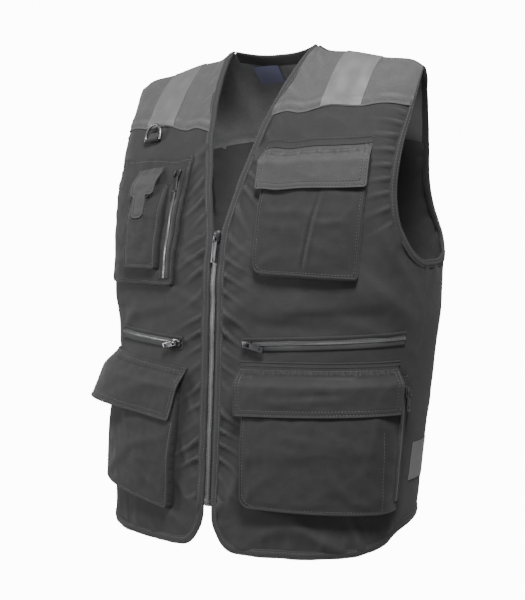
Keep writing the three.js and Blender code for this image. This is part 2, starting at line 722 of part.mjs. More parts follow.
const hemAcross = (lift) => Array.from({ length: BACK_ACROSS + 1 }, (unused, i) => {
  const girth = lerp(BACK_START, 2 * HALF_GIRTH - BACK_START, i / BACK_ACROSS);
  return [girth, hemHeight(Math.min(girth, 2 * HALF_GIRTH - girth)) + lift];
});
const backHem = hemAcross(INSET);
const backSide = Array.from({ length: SEAM_STEPS + 1 }, (unused, i) => mix(backHem[0], backLower[0], i / SEAM_STEPS));
const backSeam = seamLine(backLower[ARM_STEPS], across(backLower)[ARM_STEPS], BACK_YOKE_ACROSS, 0);
const backLevel = seamLine(backLower[BACK_BOTTOM_STEPS], across(backLower)[BACK_BOTTOM_STEPS], BACK_YOKE_ACROSS, 0);
const backBottom = backLower.slice(0, BACK_BOTTOM_STEPS);
const backShape = panelShape({
  bottom: backHem,
  middle: {
    row: SEAM_STEPS,
    line: [...backBottom, ...backLevel, ...across(backBottom).reverse()],
    leftArm: backLower.slice(BACK_BOTTOM_STEPS),
    rightArm: across(backLower).slice(BACK_BOTTOM_STEPS),
  },
  top: backSeam,
  left: backSide,
  right: across(backSide),
  beneath: BACK_BOTTOM_STEPS,
  beyond: BACK_BOTTOM_STEPS,
});
add('back_panel', 'twill', sheet({ ...backShape, low: -half, high: half }));

const backNeckInner = backNeckLine(INSET);
const backRidge = (line) => seamLine(backUpper[YOKE_STEPS], line[0], RIDGE_ACROSS, 0);
const backTop = [...backRidge(backNeckInner), ...backNeckInner.slice(1), ...across(backRidge(backNeckInner)).reverse().slice(1)];
const backYokeSeam = raised(backSeam, GAP);
const backYokeSide = [backYokeSeam[0], ...backUpper.slice(1)];
const backYokeShape = patch(backYokeSeam, backTop, backYokeSide, across(backYokeSide));
add('back_yoke', 'yoke', sheet({ ...backYokeShape, low: -half, high: half }));

// Bindings of the back neck, the back hem and the armholes
const thick = { low: -BINDING / 2, high: BINDING / 2 };
add('back_neck_binding', 'binding', sheet({ ...bindingBand(backNeckLine(0), backNeckInner), ...thick }));
add('back_hem_binding', 'binding', sheet({ ...bindingBand(hemAcross(0), backHem), ...thick }));
for (const [side, label] of [[1, 'left'], [-1, 'right']]) {
  const edge = [...armholes[label].edge, ...backArmEdge.slice().reverse()];
  const inner = [...armholes[label].inner, ...backArmInner.slice().reverse()];
  add(`${label}_armhole_binding`, 'binding', sheet({ ...mirrored(side, bindingBand(edge, inner)), ...thick }));
}


// What lies on the cloth is cut to its facets, with the gap between them
const UNDER = 12;
const sum = (a, b) => (...at) => (typeof a === 'function' ? a(...at) : a) + b;
const slab = (shape, low, high) => toSolid(sheet({ ...shape, low, high }));
const cutter = (shape, face, under = UNDER) => slab(shape, -under, face).add(slab(shape, -under, sum(face, GAP)));
const innerCutter = (shape) => toSolid(sheet({ ...shape, low: -half - GAP, high: UNDER }));
const cut = (solid, ...tools) => toGeometry(largest(tools.reduce((rest, tool) => rest.subtract(tool), solid)));
const seat = (geometry, ...tools) => cut(toSolid(geometry), ...tools);
const face = {
  front: { 1: cutter(frontShapes.left, half), [-1]: cutter(frontShapes.right, half) },
  yoke: { 1: cutter(yokeShapes.left, half, half), [-1]: cutter(yokeShapes.right, half, half) },
  back: cutter(backShape, half),
  backYoke: cutter(backYokeShape, half, half),
};
const BASE = half + GAP;
const SINK = 1;

// A four-sided field on one front, from its row of the table
function field(name, side) {
  const { inner, width, drop, height, rise, baseRise = 0, lean = 0, spread = 0, across, down } = FIELDS[name];
  const spot = (u, v) => {
    const girth = inner + lean * (1 - v) + (width + spread * (1 - v)) * u;
    const level = lerp(-drop - height + baseRise * u, -drop + rise * u, v);
    return [side * girth, level];
  };
  // The shares of a point of the cloth across and up the field
  const locate = (girth, level) => {
    let u = 0.5;
    let v = 0.5;
    for (let round = 0; round < 4; round += 1) {
      u = (Math.abs(girth) - inner - lean * (1 - v)) / (width + spread * (1 - v));
      v = (level + drop + height - baseRise * u) / (height + (rise - baseRise) * u);
    }
    return [u, v];
  };
  return { spot, locate, across, down, width, height };
}

// A pocket: a front wall and three gussets round a hollow that is open at the top and behind
function pocket(shape, depth, base) {
  const wallAcross = POCKET_WALL / shape.width;
  const wallUp = POCKET_WALL / shape.height;
  const inside = (u, v) => [lerp(wallAcross, 1 - wallAcross, u), lerp(wallUp, 1 + wallUp, v)];
  const block = sheet({ ...shape, low: sum(base, -SINK), high: depth });
  const hollow = sheet({
    ...shape,
    spot: (u, v) => shape.spot(...inside(u, v)),
    low: sum(base, -2 * SINK),
    high: (u, v) => depth(...inside(u, v)) - POCKET_WALL,
  });
  return toSolid(block).subtract(toSolid(hollow));
}

// A flap is sewn down at its top and stands off the pocket below it
const flap = (shape, lift) => sheet({ ...shape, low: sum(lift, -FLAP), high: lift });

// How deep a pocket is: shallow at its mouth and full from a share of its height down
const belly = (depth, mouth, full) => (v) => BASE + depth * lerp(mouth, 1, smooth(1, full, v));

// Wearer's left chest: a tuck in the cloth, a pocket and a flap over it
const MOUTH = 0.4;
add('chest_band', 'twill', seat(sheet({ ...field('chest_band', 1), low: 0, high: BASE + SINK }), face.front[1]));
const chestPocket = field('chest_pocket', 1);
const chestBelly = belly(CHEST_DEPTH, MOUTH, 0.4);
const CHEST_CROWN = 0.25;
const chestDepth = (u, v) => lerp(BASE, chestBelly(v), 1 - CHEST_CROWN * (2 * u - 1) ** 2);
add('chest_pocket', 'pocket', cut(pocket(chestPocket, chestDepth, half), face.front[1]));
const chestLift = (u, v) => BASE + FLAP - SINK / 2 + (CHEST_DEPTH * 0.72 + LIFT) * smooth(1, 0.6, v);
add('chest_flap', 'pocket', seat(flap(field('chest_flap', 1), chestLift), face.front[1]));

// Wearer's left cargo pocket: a strip, a flap and a pocket whose outer gusset is a slope
add('cargo_strip', 'binding', seat(sheet({ ...field('cargo_strip', 1), low: 0, high: BASE + LIFT }), face.front[1]));
const cargoPocket = field('left_cargo_pocket', 1);
const cargoBelly = belly(CARGO_DEPTH, MOUTH, 0.45);
const gussetTop = 1 - 1 / cargoPocket.across;
const cargoDepth = (u, v) => lerp(cargoBelly(v), BASE + GUSSET_FOOT, Math.max(0, u - gussetTop) / (1 - gussetTop));
add('left_cargo_pocket', 'pocket', cut(pocket(cargoPocket, cargoDepth, half), face.front[1]));
const cargoLift = (u, v) => BASE + FLAP - SINK / 2 + (CARGO_DEPTH * 0.72 + LIFT) * smooth(1, 0.6, v);
add('left_cargo_flap', 'pocket', seat(flap(field('left_cargo_flap', 1), cargoLift), face.front[1]));

// Wearer's right cargo pocket, whose flap stands away at its outer end
const rightPocket = field('right_cargo_pocket', -1);
const rightBelly = belly(RIGHT_DEPTH, MOUTH, 0.4);
const rightDepth = (u, v) => rightBelly(v);
add('right_cargo_pocket', 'pocket', cut(pocket(rightPocket, rightDepth, half), face.front[-1]));
const rightLift = (u, v) => {
  const over = (RIGHT_DEPTH * 0.72 + LIFT) * smooth(1, 0.6, v);
  return BASE + FLAP - SINK / 2 + over + RIGHT_FLAP_STAND * smooth(0.2, 1, u) * (1 - v);
};
add('right_cargo_flap', 'pocket', seat(flap(field('right_cargo_flap', -1), rightLift), face.front[-1]));

// Wearer's right chest: a flat map pocket, a phone pocket on it and a T-shaped flap
const mapPocket = field('map_pocket', -1);
const mapBelly = belly(MAP_DEPTH, MOUTH, 0.7);
const mapDepth = (u, v) => mapBelly(v);
add('map_pocket', 'pocket', cut(pocket(mapPocket, mapDepth, half), face.front[-1]));
const mapFace = cutter(mapPocket, mapDepth);
const onMap = (u, v, girth, height) => mapBelly(mapPocket.locate(girth, height)[1]);
const phonePocket = field('phone_pocket', -1);
const phoneDepth = (u, v) => BASE + MAP_DEPTH + PHONE_DEPTH * lerp(MOUTH, 1, smooth(1, 0.6, v));
add('phone_pocket', 'pocket', cut(pocket(phonePocket, phoneDepth, BASE + MAP_DEPTH), mapFace));

const tColumns = [T_FLAP.inner, T_FLAP.tongueInner, (T_FLAP.tongueInner + T_FLAP.tongueOuter) / 2, T_FLAP.tongueOuter, T_FLAP.outer];
const T_ROWS = 4;
const tShape = {
  across: tColumns.length - 1,
  down: T_ROWS,
  keep: (i, j) => j > 0 || (i > 0 && i < tColumns.length - 2),
  spot: (u, v, i, j) => {
    const height = j === 0 ? -T_FLAP.tongueDrop : lerp(-T_FLAP.shoulderDrop, -T_FLAP.drop, (j - 1) / (T_ROWS - 1));
    return [-tColumns[i], height];
  },
};
const tLift = (u, v, girth, height) => {
  const over = smooth(-T_FLAP.drop, -FIELDS.phone_pocket.drop, height);
  return BASE + MAP_DEPTH * MOUTH + FLAP + (MAP_DEPTH * (1 - MOUTH) + PHONE_DEPTH * 0.8 + LIFT) * over;
};
add('phone_flap', 'pocket', seat(flap(tShape, tLift), mapFace));

// Reflective tape: over each shoulder from seam to seam, and across the back
for (const [side, label] of [[1, 'left'], [-1, 'right']]) {
  const frontDrop = YOKE_INNER_DROP - side * YOKE_STEP - TAPE_FOOT;
  const rows = 2 * YOKE_STEPS;
  const spot = (u, v, i, j) => {
    const girth = TAPE_INNER + TAPE_WIDTH * u;
    const front = ridgeHeight(YOKE_INNER_DROP - side * YOKE_STEP, j / YOKE_STEPS);
    if (j <= YOKE_STEPS) return [side * girth, Math.max(front, TAPE_SLANT * u - frontDrop)];
    return [side * behind(girth), ridgeHeight(BACK_YOKE_DROP - TAPE_BACK_FOOT, (rows - j) / YOKE_STEPS)];
  };
  const tape = sheet({ spot, across: 3, down: rows, low: half, high: BASE + TAPE });
  add(`${label}_shoulder_tape`, 'reflective', seat(tape, face.yoke[side], face.front[side], face.backYoke));
}
const bandSpan = HALF_GIRTH - SIDE_SEAM - BAND_START;
const bandShape = {
  spot: (u, v) => [HALF_GIRTH + bandSpan * (2 * u - 1), -BAND_DROP - BAND_WIDTH * (1 - v)],
  across: BACK_ACROSS,
  down: 1,
};
add('back_reflective_band', 'reflective', seat(sheet({ ...bandShape, low: 0, high: BASE + TAPE }), face.back));

// A point off a surface along its own normal
function offSurface(surface, girth, height, lift) {
  const step = 0.5;
  const at = surface(girth, height);
  const overGirth = surface(girth + step, height).sub(at);
  const overHeight = surface(girth, height + step).sub(at);
  const normal = overGirth.cross(overHeight).normalize();
  return { point: at.clone().addScaledVector(normal, lift), at, normal };
}

// A frame on a surface: origin on it, Y along a heading, Z outwards
function frameOn(surface, girth, height, heading) {
  const { at, normal } = offSurface(surface, girth, height, 0);
  const ahead = surface(girth + heading[0], height + heading[1]).sub(at).normalize();
  const sideways = ahead.clone().cross(normal).normalize();
  return new THREE.Matrix4().makeBasis(sideways, normal.clone().cross(sideways), normal).setPosition(at);
}

function box(width, length, height, x, y, z) {
  return toSolid(new THREE.BoxGeometry(width, length, height).translate(x, y, z + height / 2));
}

// A slider astride a chain that lies on a tape, with the bridge that holds the pull
function slider(tapeTop, chainTop) {
  const plateFoot = chainTop + GAP;
  const flange = (SLIDER_WIDTH - CHAIN_WIDTH) / 2 - GAP;
  const flangeFoot = tapeTop + GAP;
  const sides = [-1, 1].map((side) => box(flange, SLIDER_LENGTH, plateFoot - flangeFoot + SLIDER_PLATE,
    side * (SLIDER_WIDTH - flange) / 2, 0, flangeFoot));
  const plate = box(SLIDER_WIDTH, SLIDER_LENGTH, SLIDER_PLATE, 0, 0, plateFoot);
  const top = plateFoot + SLIDER_PLATE;
  const whole = box(BRIDGE_WIDTH, BRIDGE_LENGTH, BRIDGE_HEIGHT + GAP, 0, 0, top - GAP);
  const under = box(SLIDER_WIDTH, BRIDGE_LENGTH - 2 * BRIDGE_BAR, BRIDGE_HEIGHT - BRIDGE_BAR, 0, 0, top);
  return toGeometry(plate.add(sides[0]).add(sides[1]).add(whole.subtract(under)));
}

// A pull: a bar that turns under the bridge, a window, and a plate with a hole near its end.
// It lies along -Y from the pivot at the origin.
function pull(length) {
  const reach = PULL_BAR + WINDOW_LENGTH;
  const plate = box(PULL_WIDTH, length, PULL, 0, PULL_BAR / 2 - length / 2, -PULL / 2);
  const opening = box(PULL_WINDOW, WINDOW_LENGTH, 2 * PULL, 0, PULL_BAR / 2 - reach + WINDOW_LENGTH / 2, -PULL);
  const hole = box(PULL_HOLE, PULL_HOLE, 2 * PULL, 0, PULL_BAR / 2 - length + PULL_HOLE * 1.5, -PULL);
  return toGeometry(plate.subtract(opening).subtract(hole));
}

function addSlider(name, matrix, tapeTop, chainTop, pullLength, yaw) {
  add(`${name}_slider`, 'zip_metal', slider(tapeTop, chainTop), matrix);
  const pivot = new THREE.Matrix4().makeTranslation(0, 0, chainTop + GAP + SLIDER_PLATE + PIVOT_HEIGHT);
  const turned = new THREE.Matrix4().makeRotationZ(THREE.MathUtils.degToRad(yaw));
  add(`${name}_pull`, 'zip_metal', pull(pullLength), matrix.clone().multiply(pivot).multiply(turned));
}

// Main zip: a tape behind each binding, the chain between them, a box at its foot
const zipTop = -NECK_DROP;
const zipFoot = -ZIP_END_DROP + END_BOX_LENGTH + GAP;
const zipRows = (from, to) => (u, v, i, j) => {
  const height = lerp(-ZIP_END_DROP, zipTop, v);
  return [lerp(from, to, u), Math.max(zipFoot, height)];
};
const mainTape = { across: 1, down: ZIP_STEPS, low: -BINDING / 2 - GAP - ZIP_TAPE, high: -BINDING / 2 - GAP };
for (const [side, label] of [[1, 'left'], [-1, 'right']]) {
  const inner = CHAIN_WIDTH / 2 + GAP;
  const spot = zipRows(side * inner, side * (inner + MAIN_TAPE_WIDTH));
  add(`main_zip_${label}_tape`, 'zip_tape', sheet({ ...mainTape, spot }));
}
const chainLow = -BINDING / 2;
add('main_zip_chain', 'zip_metal', sheet({
  spot: zipRows(-CHAIN_WIDTH / 2, CHAIN_WIDTH / 2), across: 1, down: ZIP_STEPS, low: chainLow, high: chainLow + CHAIN,
}));
const mainSurface = (girth, height) => place(girth, height, 0);
const sliderHeight = zipTop - SLIDER_LENGTH / 2;
addSlider('main_zip', frameOn(mainSurface, 0, sliderHeight, [0, 1]), -BINDING / 2 - GAP, chainLow + CHAIN, MAIN_PULL, 0);
const boxFrame = frameOn(mainSurface, 0, -ZIP_END_DROP + END_BOX_LENGTH / 2, [0, 1]);
add('main_zip_end_box', 'zip_metal', toGeometry(box(END_BOX_WIDTH, END_BOX_LENGTH, CHAIN + ZIP_TAPE, 0, 0, chainLow - ZIP_TAPE)), boxFrame);

// Pocket zips: each lies on the front, on the map pocket or on the slope of the cargo gusset
const grounds = {
  left_pocket_zip: { ground: () => half, tool: face.front[1] },
  right_pocket_zip: { ground: () => half, tool: face.front[-1] },
  map_pocket_zip: { ground: (girth, height) => mapDepth(...mapPocket.locate(girth, height)), tool: mapFace },
  side_pocket_zip: {
    ground: (girth, height) => cargoDepth(...cargoPocket.locate(girth, height)),
    tool: cutter(cargoPocket, cargoDepth),
  },
};
for (const [name, row] of Object.entries(POCKET_ZIPS)) {
  const { ground, tool } = grounds[name];
  const start = [row.side * row.girth, -row.drop];
  const end = [row.side * row.endGirth, -row.endDrop];
  const length = Math.hypot(end[0] - start[0], end[1] - start[1]);
  const heading = [(end[0] - start[0]) / length, (end[1] - start[1]) / length];
  const strip = (width) => ({
    spot: (u, v) => {
      const off = (u - 0.5) * width;
      const [girth, height] = mix(start, end, v);
      return [girth - heading[1] * off, height + heading[0] * off];
    },
    across: 1,
    down: row.steps,
  });
  const surface = (girth, height) => place(girth, height, ground(girth, height));
  const on = (girth, height, lift) => offSurface(surface, girth, height, lift).point;
  const tapeTop = GAP + ZIP_TAPE;
  const chainFoot = tapeTop + GAP;
  add(`${name}_tape`, 'zip_tape', seat(sheet({ ...strip(POCKET_TAPE_WIDTH), low: -SINK, high: tapeTop, on }), tool));
  add(`${name}_chain`, 'zip_metal', sheet({ ...strip(CHAIN_WIDTH), low: chainFoot, high: chainFoot + CHAIN, on }));
  const [girth, height] = mix(start, end, SLIDER_LENGTH / 2 / length);
  const frame = frameOn(surface, girth, height, [-heading[0], -heading[1]]);
  addSlider(name, frame, tapeTop, chainFoot + CHAIN, row.pull, row.yaw);
}

// D-ring on the wearer's right, flipped up over the tape, held by a tab sewn into the yoke seam
function ringSolid() {
  const reach = (RING_WIDTH - RING_WIRE) / 2;
  const rise = RING_HEIGHT - RING_WIRE;
  const shoulder = rise - reach;
  const path = [[-reach, 0], [reach, 0], [reach, shoulder]];
  const bends = 8;
  for (let i = 1; i < bends; i += 1) {
    const angle = Math.PI * i / bends;
    path.push([reach * Math.cos(angle), shoulder + reach * Math.sin(angle)]);
  }
  path.push([-reach, shoulder]);
  const sides = 6;
  const points = [];
  const faces = [];
  path.forEach(([x, y], i) => {
    const before = path[(i + path.length - 1) % path.length];
    const after = path[(i + 1) % path.length];
    const enter = new THREE.Vector2(x - before[0], y - before[1]).normalize();
    const leave = new THREE.Vector2(after[0] - x, after[1] - y).normalize();
    const mitre = new THREE.Vector2(enter.y + leave.y, -enter.x - leave.x).normalize();
    const widen = 1 / Math.abs(mitre.x * enter.y - mitre.y * enter.x);
    for (let k = 0; k < sides; k += 1) {
      const turn = 2 * Math.PI * k / sides;
      const off = RING_WIRE / 2 * Math.cos(turn) * widen;
      points.push(new THREE.Vector3(x + mitre.x * off, y + mitre.y * off, RING_WIRE / 2 * Math.sin(turn)));
      const next = (i + 1) % path.length;
      const beside = (k + 1) % sides;
      faces.push([i * sides + k, next * sides + k, next * sides + beside]);
      faces.push([i * sides + k, next * sides + beside, i * sides + beside]);
    }
  });
  return closed(points, faces);
}
const tabOuter = RING_WIRE / 2 + GAP + TAB_PLY;
const panelSurface = (girth, height) => place(girth, height, BASE);
const ringFrame = frameOn(panelSurface, RING_GIRTH, -RING_DROP, [0, 1]);
const ringPivot = new THREE.Matrix4().makeTranslation(0, 0, tabOuter);
const lean = new THREE.Matrix4().makeRotationX(THREE.MathUtils.degToRad(RING_LEAN));
add('d_ring', 'ring_metal', ringSolid(), ringFrame.clone().multiply(ringPivot).multiply(lean));

function tab() {
  const profile = new THREE.Shape();
  profile.absarc(0, tabOuter, tabOuter, Math.PI / 2, 3 * Math.PI / 2);
  profile.lineTo(0, -SINK);
  profile.lineTo(TAB_LENGTH, -SINK);
  profile.lineTo(TAB_LENGTH, 2 * TAB_PLY);
  profile.lineTo(tabOuter, 2 * TAB_PLY + 1);
  const bore = new THREE.Path();
  bore.absarc(0, tabOuter, RING_WIRE / 2 + GAP, 0, 2 * Math.PI, true);
  profile.holes.push(bore);
  const strap = new THREE.ExtrudeGeometry(profile, { depth: TAB_WIDTH, bevelEnabled: false, curveSegments: 6 });
  const turned = new THREE.Matrix4().makeBasis(new THREE.Vector3(0, 1, 0), new THREE.Vector3(0, 0, 1), new THREE.Vector3(1, 0, 0));
  strap.applyMatrix4(turned).translate(-TAB_WIDTH / 2, 0, 0);
  return strap.applyMatrix4(ringFrame);
}
add('d_ring_tab', 'twill', seat(tab(), face.front[-1]));

// Bare label inside the back yoke, off the middle and below the neck binding
const labelShape = {
  spot: (u, v) => {
    const girth = HALF_GIRTH + LABEL_OFFSET - LABEL_WIDTH / 2 + LABEL_WIDTH * u;
    return [girth, below(girth, -BACK_NECK_DROP, INSET + LABEL_DROP + LABEL_HEIGHT * (1 - v))];
  },
  across: 3,
  down: 2,
};
add('neck_label', 'label', seat(sheet({ ...labelShape, low: -BASE - LABEL, high: -half }), innerCutter(backYokeShape)));

export default vest;
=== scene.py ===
import math

import bmesh
import bpy
import numpy as np
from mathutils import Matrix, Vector, noise
from mathutils.geometry import delaunay_2d_cdt


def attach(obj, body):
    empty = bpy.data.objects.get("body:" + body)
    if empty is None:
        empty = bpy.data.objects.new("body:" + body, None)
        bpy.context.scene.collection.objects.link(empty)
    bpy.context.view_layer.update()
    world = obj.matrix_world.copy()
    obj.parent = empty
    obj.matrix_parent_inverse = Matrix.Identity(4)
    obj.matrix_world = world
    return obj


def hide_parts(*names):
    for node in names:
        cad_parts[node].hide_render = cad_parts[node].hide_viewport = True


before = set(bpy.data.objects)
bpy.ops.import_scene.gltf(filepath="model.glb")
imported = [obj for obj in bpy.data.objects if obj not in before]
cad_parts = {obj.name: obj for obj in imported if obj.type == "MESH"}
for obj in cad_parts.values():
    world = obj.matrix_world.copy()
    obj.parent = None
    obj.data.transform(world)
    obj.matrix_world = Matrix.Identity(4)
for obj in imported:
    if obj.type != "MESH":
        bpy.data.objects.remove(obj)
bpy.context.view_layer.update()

# Camera
# The vest is seen from the wearer's left front, a little above its middle,
# through a long lens that keeps its sides nearly parallel.
TARGET = Vector((0, 0, -0.32))
CAMERA_TURN = math.radians(36)
CAMERA_RISE = math.radians(3)
CAMERA_DISTANCE = 1.88
BACK_OFF = Vector((math.sin(CAMERA_TURN) * math.cos(CAMERA_RISE),
                   -math.cos(CAMERA_TURN) * math.cos(CAMERA_RISE),
                   math.sin(CAMERA_RISE)))
camera = bpy.data.objects.new("camera", bpy.data.cameras.new("camera"))
bpy.context.scene.collection.objects.link(camera)
camera.location = TARGET + CAMERA_DISTANCE * BACK_OFF
camera.rotation_euler = (-BACK_OFF).to_track_quat("-Z", "Y").to_euler()
camera.data.lens = 81.9
camera.data.sensor_width = 36
camera.data.shift_x = -0.02
bpy.context.scene.camera = camera

# Studio
# A plain pale floor well below the vest, and a lit white backdrop behind it, in a pale room.
# One large soft box hangs high in front, a weaker one stands at the wearer's right, and a
# third stands low in front for the hem.
FLOOR_DROP = 2.4
FLOOR_REACH = 9
BACKDROP_DISTANCE = 3.4
BACKDROP_HALF_WIDTH = 1.12
BACKDROP_FOOT = Vector((0, 0, -1.45))
BACKDROP_TOP = Vector((0, 0, 1.12))
ROOM_LIGHT = 0.44


def studio_sheet(name, corners, pale, rough_paint, glow=0):
    """A painted sheet of the studio, which isn't part of the vest."""
    mesh = bpy.data.meshes.new(name)
    mesh.from_pydata(corners, [], [(0, 1, 2, 3)])
    sheet = bpy.data.objects.new(name, mesh)
    bpy.context.scene.collection.objects.link(sheet)
    paint = bpy.data.materials.new(name + "_paint")
    paint.use_nodes = True
    shader = paint.node_tree.nodes["Principled BSDF"]
    shader.inputs["Base Color"].default_value = (pale, pale, pale, 1)
    shader.inputs["Roughness"].default_value = rough_paint
    shader.inputs["Emission Color"].default_value = (1, 1, 1, 1)
    shader.inputs["Emission Strength"].default_value = glow
    sheet.data.materials.append(paint)


studio_sheet("floor", [(x * FLOOR_REACH, y * FLOOR_REACH, -FLOOR_DROP)
                       for x, y in ((-1, -1), (1, -1), (1, 1), (-1, 1))], 0.93, 0.9)
beyond = TARGET - BACKDROP_DISTANCE * Vector((BACK_OFF.x, BACK_OFF.y, 0))
aside = Vector((-BACK_OFF.y, BACK_OFF.x, 0)).normalized() * BACKDROP_HALF_WIDTH
studio_sheet("backdrop", [beyond - aside + BACKDROP_FOOT, beyond + aside + BACKDROP_FOOT,
                          beyond + aside + BACKDROP_TOP, beyond - aside + BACKDROP_TOP], 0.9, 0.5, glow=11)

room = bpy.data.worlds.new("white_room")
room.use_nodes = True
room.node_tree.nodes["Background"].inputs["Color"].default_value = (1, 1, 1, 1)
room.node_tree.nodes["Background"].inputs["Strength"].default_value = ROOM_LIGHT
bpy.context.scene.world = room


def soft_box(name, place, aim, size, power):
    """A square lamp at a place, turned to face its aim."""
    lamp = bpy.data.lights.new(name, "AREA")
    lamp.shape = "SQUARE"
    lamp.size = size
    lamp.energy = power
    box = bpy.data.objects.new(name, lamp)
    box.location = place
    box.rotation_euler = (Vector(aim) - Vector(place)).to_track_quat("-Z", "Y").to_euler()
    bpy.context.scene.collection.objects.link(box)


soft_box("key_box", (1.0, -1.15, 1.55), (0.03, -0.05, -0.1), 0.75, 265)
soft_box("side_box", (-1.8, -1.3, 0.0), (-0.2, -0.1, -0.2), 0.7, 78)
soft_box("low_box", (0.9, -2.4, -0.5), (0, 0, -0.58), 1.0, 34)

# The form of the vest
# The cloth hangs in the shape of a torso. A point of it is given as the girth in millimetres
# round the chest from the centre front, the height, and the distance off the cloth's middle.
HALF_WIDTH = 236
FRONT_DEPTH = 134
BACK_DEPTH = 140
CHEST_DROP = 330
HEM_DROP = 638
# how square the body is round the flanks and round the shoulders, and how soon the shoulder rounds over
FLANK_SQUARE = 2.6
SHOULDER_SQUARE = 4
SHOULDER_ROUND = 0.8
STEPS_ROUND = 720
# level from the chest down to the hem: width, front and back as shares, shift to the front
FLANK = [
    (0, 1, 1, 1, 0),
    (0.4, 0.96, 1.05, 0.96, 0.1),
    (0.8, 0.933, 1.1, 0.86, 0.19),
    (1, 0.915, 1.12, 0.8, 0.21),
]
# share of the half width from the neck out: rise of the shoulder ridge
RIDGE = [(0, 0.11), (0.29, 0.098), (0.38, 0.055), (0.54, 0.034), (0.74, -0.01), (0.92, -0.036), (1, -0.08)]
# girth and drop as shares, run, spread, height in millimetres, turn in degrees
BROAD_FOLDS = [
    (0.07, 0.43, 0.07, 0.022, 3.4, 32),
    (0.075, 0.5, 0.08, 0.02, 3, 38),
    (0.19, 0.5, 0.16, 0.03, 4, 8),
    (0.37, 0.49, 0.1, 0.03, 4.5, -28),
    (0.06, 0.9, 0.07, 0.026, 3, 60),
    (0.3, 0.955, 0.1, 0.022, 4, -12),
    (-0.06, 0.44, 0.06, 0.022, 3, -30),
    (-0.065, 0.53, 0.06, 0.022, 3, -40),
    (-0.33, 0.49, 0.12, 0.06, 6, 6),
    (-0.07, 0.86, 0.09, 0.026, 3.4, -58),
    (-0.2, 0.96, 0.1, 0.022, 3, 10),
    (0.78, 0.62, 0.2, 0.05, 5, 78),
    (-0.78, 0.6, 0.2, 0.05, 5, -78),
    (1, 0.42, 0.16, 0.06, -4, 4),
    (0.9, 0.86, 0.12, 0.05, 5, 84),
    (-0.9, 0.84, 0.12, 0.05, 5, -84),
]


def along(rows, column, at):
    """A column of a table at any places between its rows, on a smooth curve."""
    keys = np.array([row[0] for row in rows], float)
    values = np.array([row[column] for row in rows], float)
    at = np.clip(at, keys[0], keys[-1])
    row = np.clip(np.searchsorted(keys, at, side="right") - 1, 0, len(keys) - 2)
    before = np.maximum(row - 1, 0)
    after = np.minimum(row + 2, len(keys) - 1)
    span = keys[row + 1] - keys[row]
    leave = (values[row + 1] - values[before]) / (keys[row + 1] - keys[before]) * span
    arrive = (values[after] - values[row]) / (keys[after] - keys[row]) * span
    t = (at - keys[row]) / span
    ease = t * t * (3 - 2 * t)
    return (values[row] * (1 - ease) + values[row + 1] * ease
            + leave * t * (1 - t) ** 2 - arrive * t * t * (1 - t))


def smooth(start, end, at):
    """0 at the start, 1 at the end, and eased between them."""
    t = np.clip((np.asarray(at, float) - start) / (end - start), 0, 1)
    return t * t * (3 - 2 * t)


def form(turn, height):
    """The bare form: turn is the direction round the body, height falls from 0 on the shoulder ridge."""
    level = np.maximum(0, -height - CHEST_DROP) / (HEM_DROP - CHEST_DROP)
    lift = np.clip((height + CHEST_DROP) / CHEST_DROP, 0, 1)
    square = FLANK_SQUARE + (SHOULDER_SQUARE - FLANK_SQUARE) * np.minimum(1, lift * 1.3)
    sine, cosine = np.sin(turn), np.cos(turn)
    reach = (np.abs(sine) ** square + np.abs(cosine) ** square) ** (-1 / square)
    x = HALF_WIDTH * along(FLANK, 1, level) * reach * sine
    side = -HALF_WIDTH * along(FLANK, 4, level)
    front = FRONT_DEPTH * along(FLANK, 2, level) + side
    back = BACK_DEPTH * along(FLANK, 3, level) - side
    rounding = (1 - lift * lift) ** SHOULDER_ROUND
    y = side - np.where(cosine > 0, front, back) * reach * cosine * rounding
    ridge = HALF_WIDTH * along(RIDGE, 1, np.abs(x) / HALF_WIDTH)
    z = np.where(lift > 0, -CHEST_DROP + (ridge + CHEST_DROP) * lift, height)
    return np.stack([x, y, z], -1)


TURNS = np.linspace(0, math.pi, STEPS_ROUND + 1)
chest_line = form(TURNS, np.full(STEPS_ROUND + 1, -float(CHEST_DROP)))
GIRTHS = np.concatenate([[0], np.cumsum(np.linalg.norm(np.diff(chest_line, axis=0), axis=1))])
HALF_GIRTH = GIRTHS[-1]
SIDE_SEAM = GIRTHS[STEPS_ROUND // 2]


def turn_at(girth):
    """The direction round the body at a girth, which may run on past the centre back."""
    past = np.abs(girth) > HALF_GIRTH
    turn = np.interp(np.where(past, 2 * HALF_GIRTH - np.abs(girth), np.abs(girth)), GIRTHS, TURNS)
    return np.sign(girth) * np.where(past, 2 * math.pi - turn, turn)


def behind(girth):
    """The girth on the back that meets a girth of the front at the shoulder ridge."""
    return np.interp(math.pi - turn_at(girth), TURNS, GIRTHS)


def humps(girth, height, rows):
    """Long low folds, each a ridge that fades along its run and across its spread."""
    off = np.zeros_like(girth)
    for at, drop, run, spread, rise, turn in rows:
        across = girth - at
        across = (across + HALF_GIRTH) % (2 * HALF_GIRTH) - HALF_GIRTH
        down = height + drop
        angle = math.radians(turn)
        far = (across * math.cos(angle) + down * math.sin(angle)) / run
        wide = (down * math.cos(angle) - across * math.sin(angle)) / spread
        off += rise * np.exp(-far * far - wide * wide)
    return off


DRAPE = [(at * HALF_GIRTH, drop * HEM_DROP, run * HALF_GIRTH, spread * HALF_GIRTH, rise, turn)
         for at, drop, run, spread, rise, turn in BROAD_FOLDS]


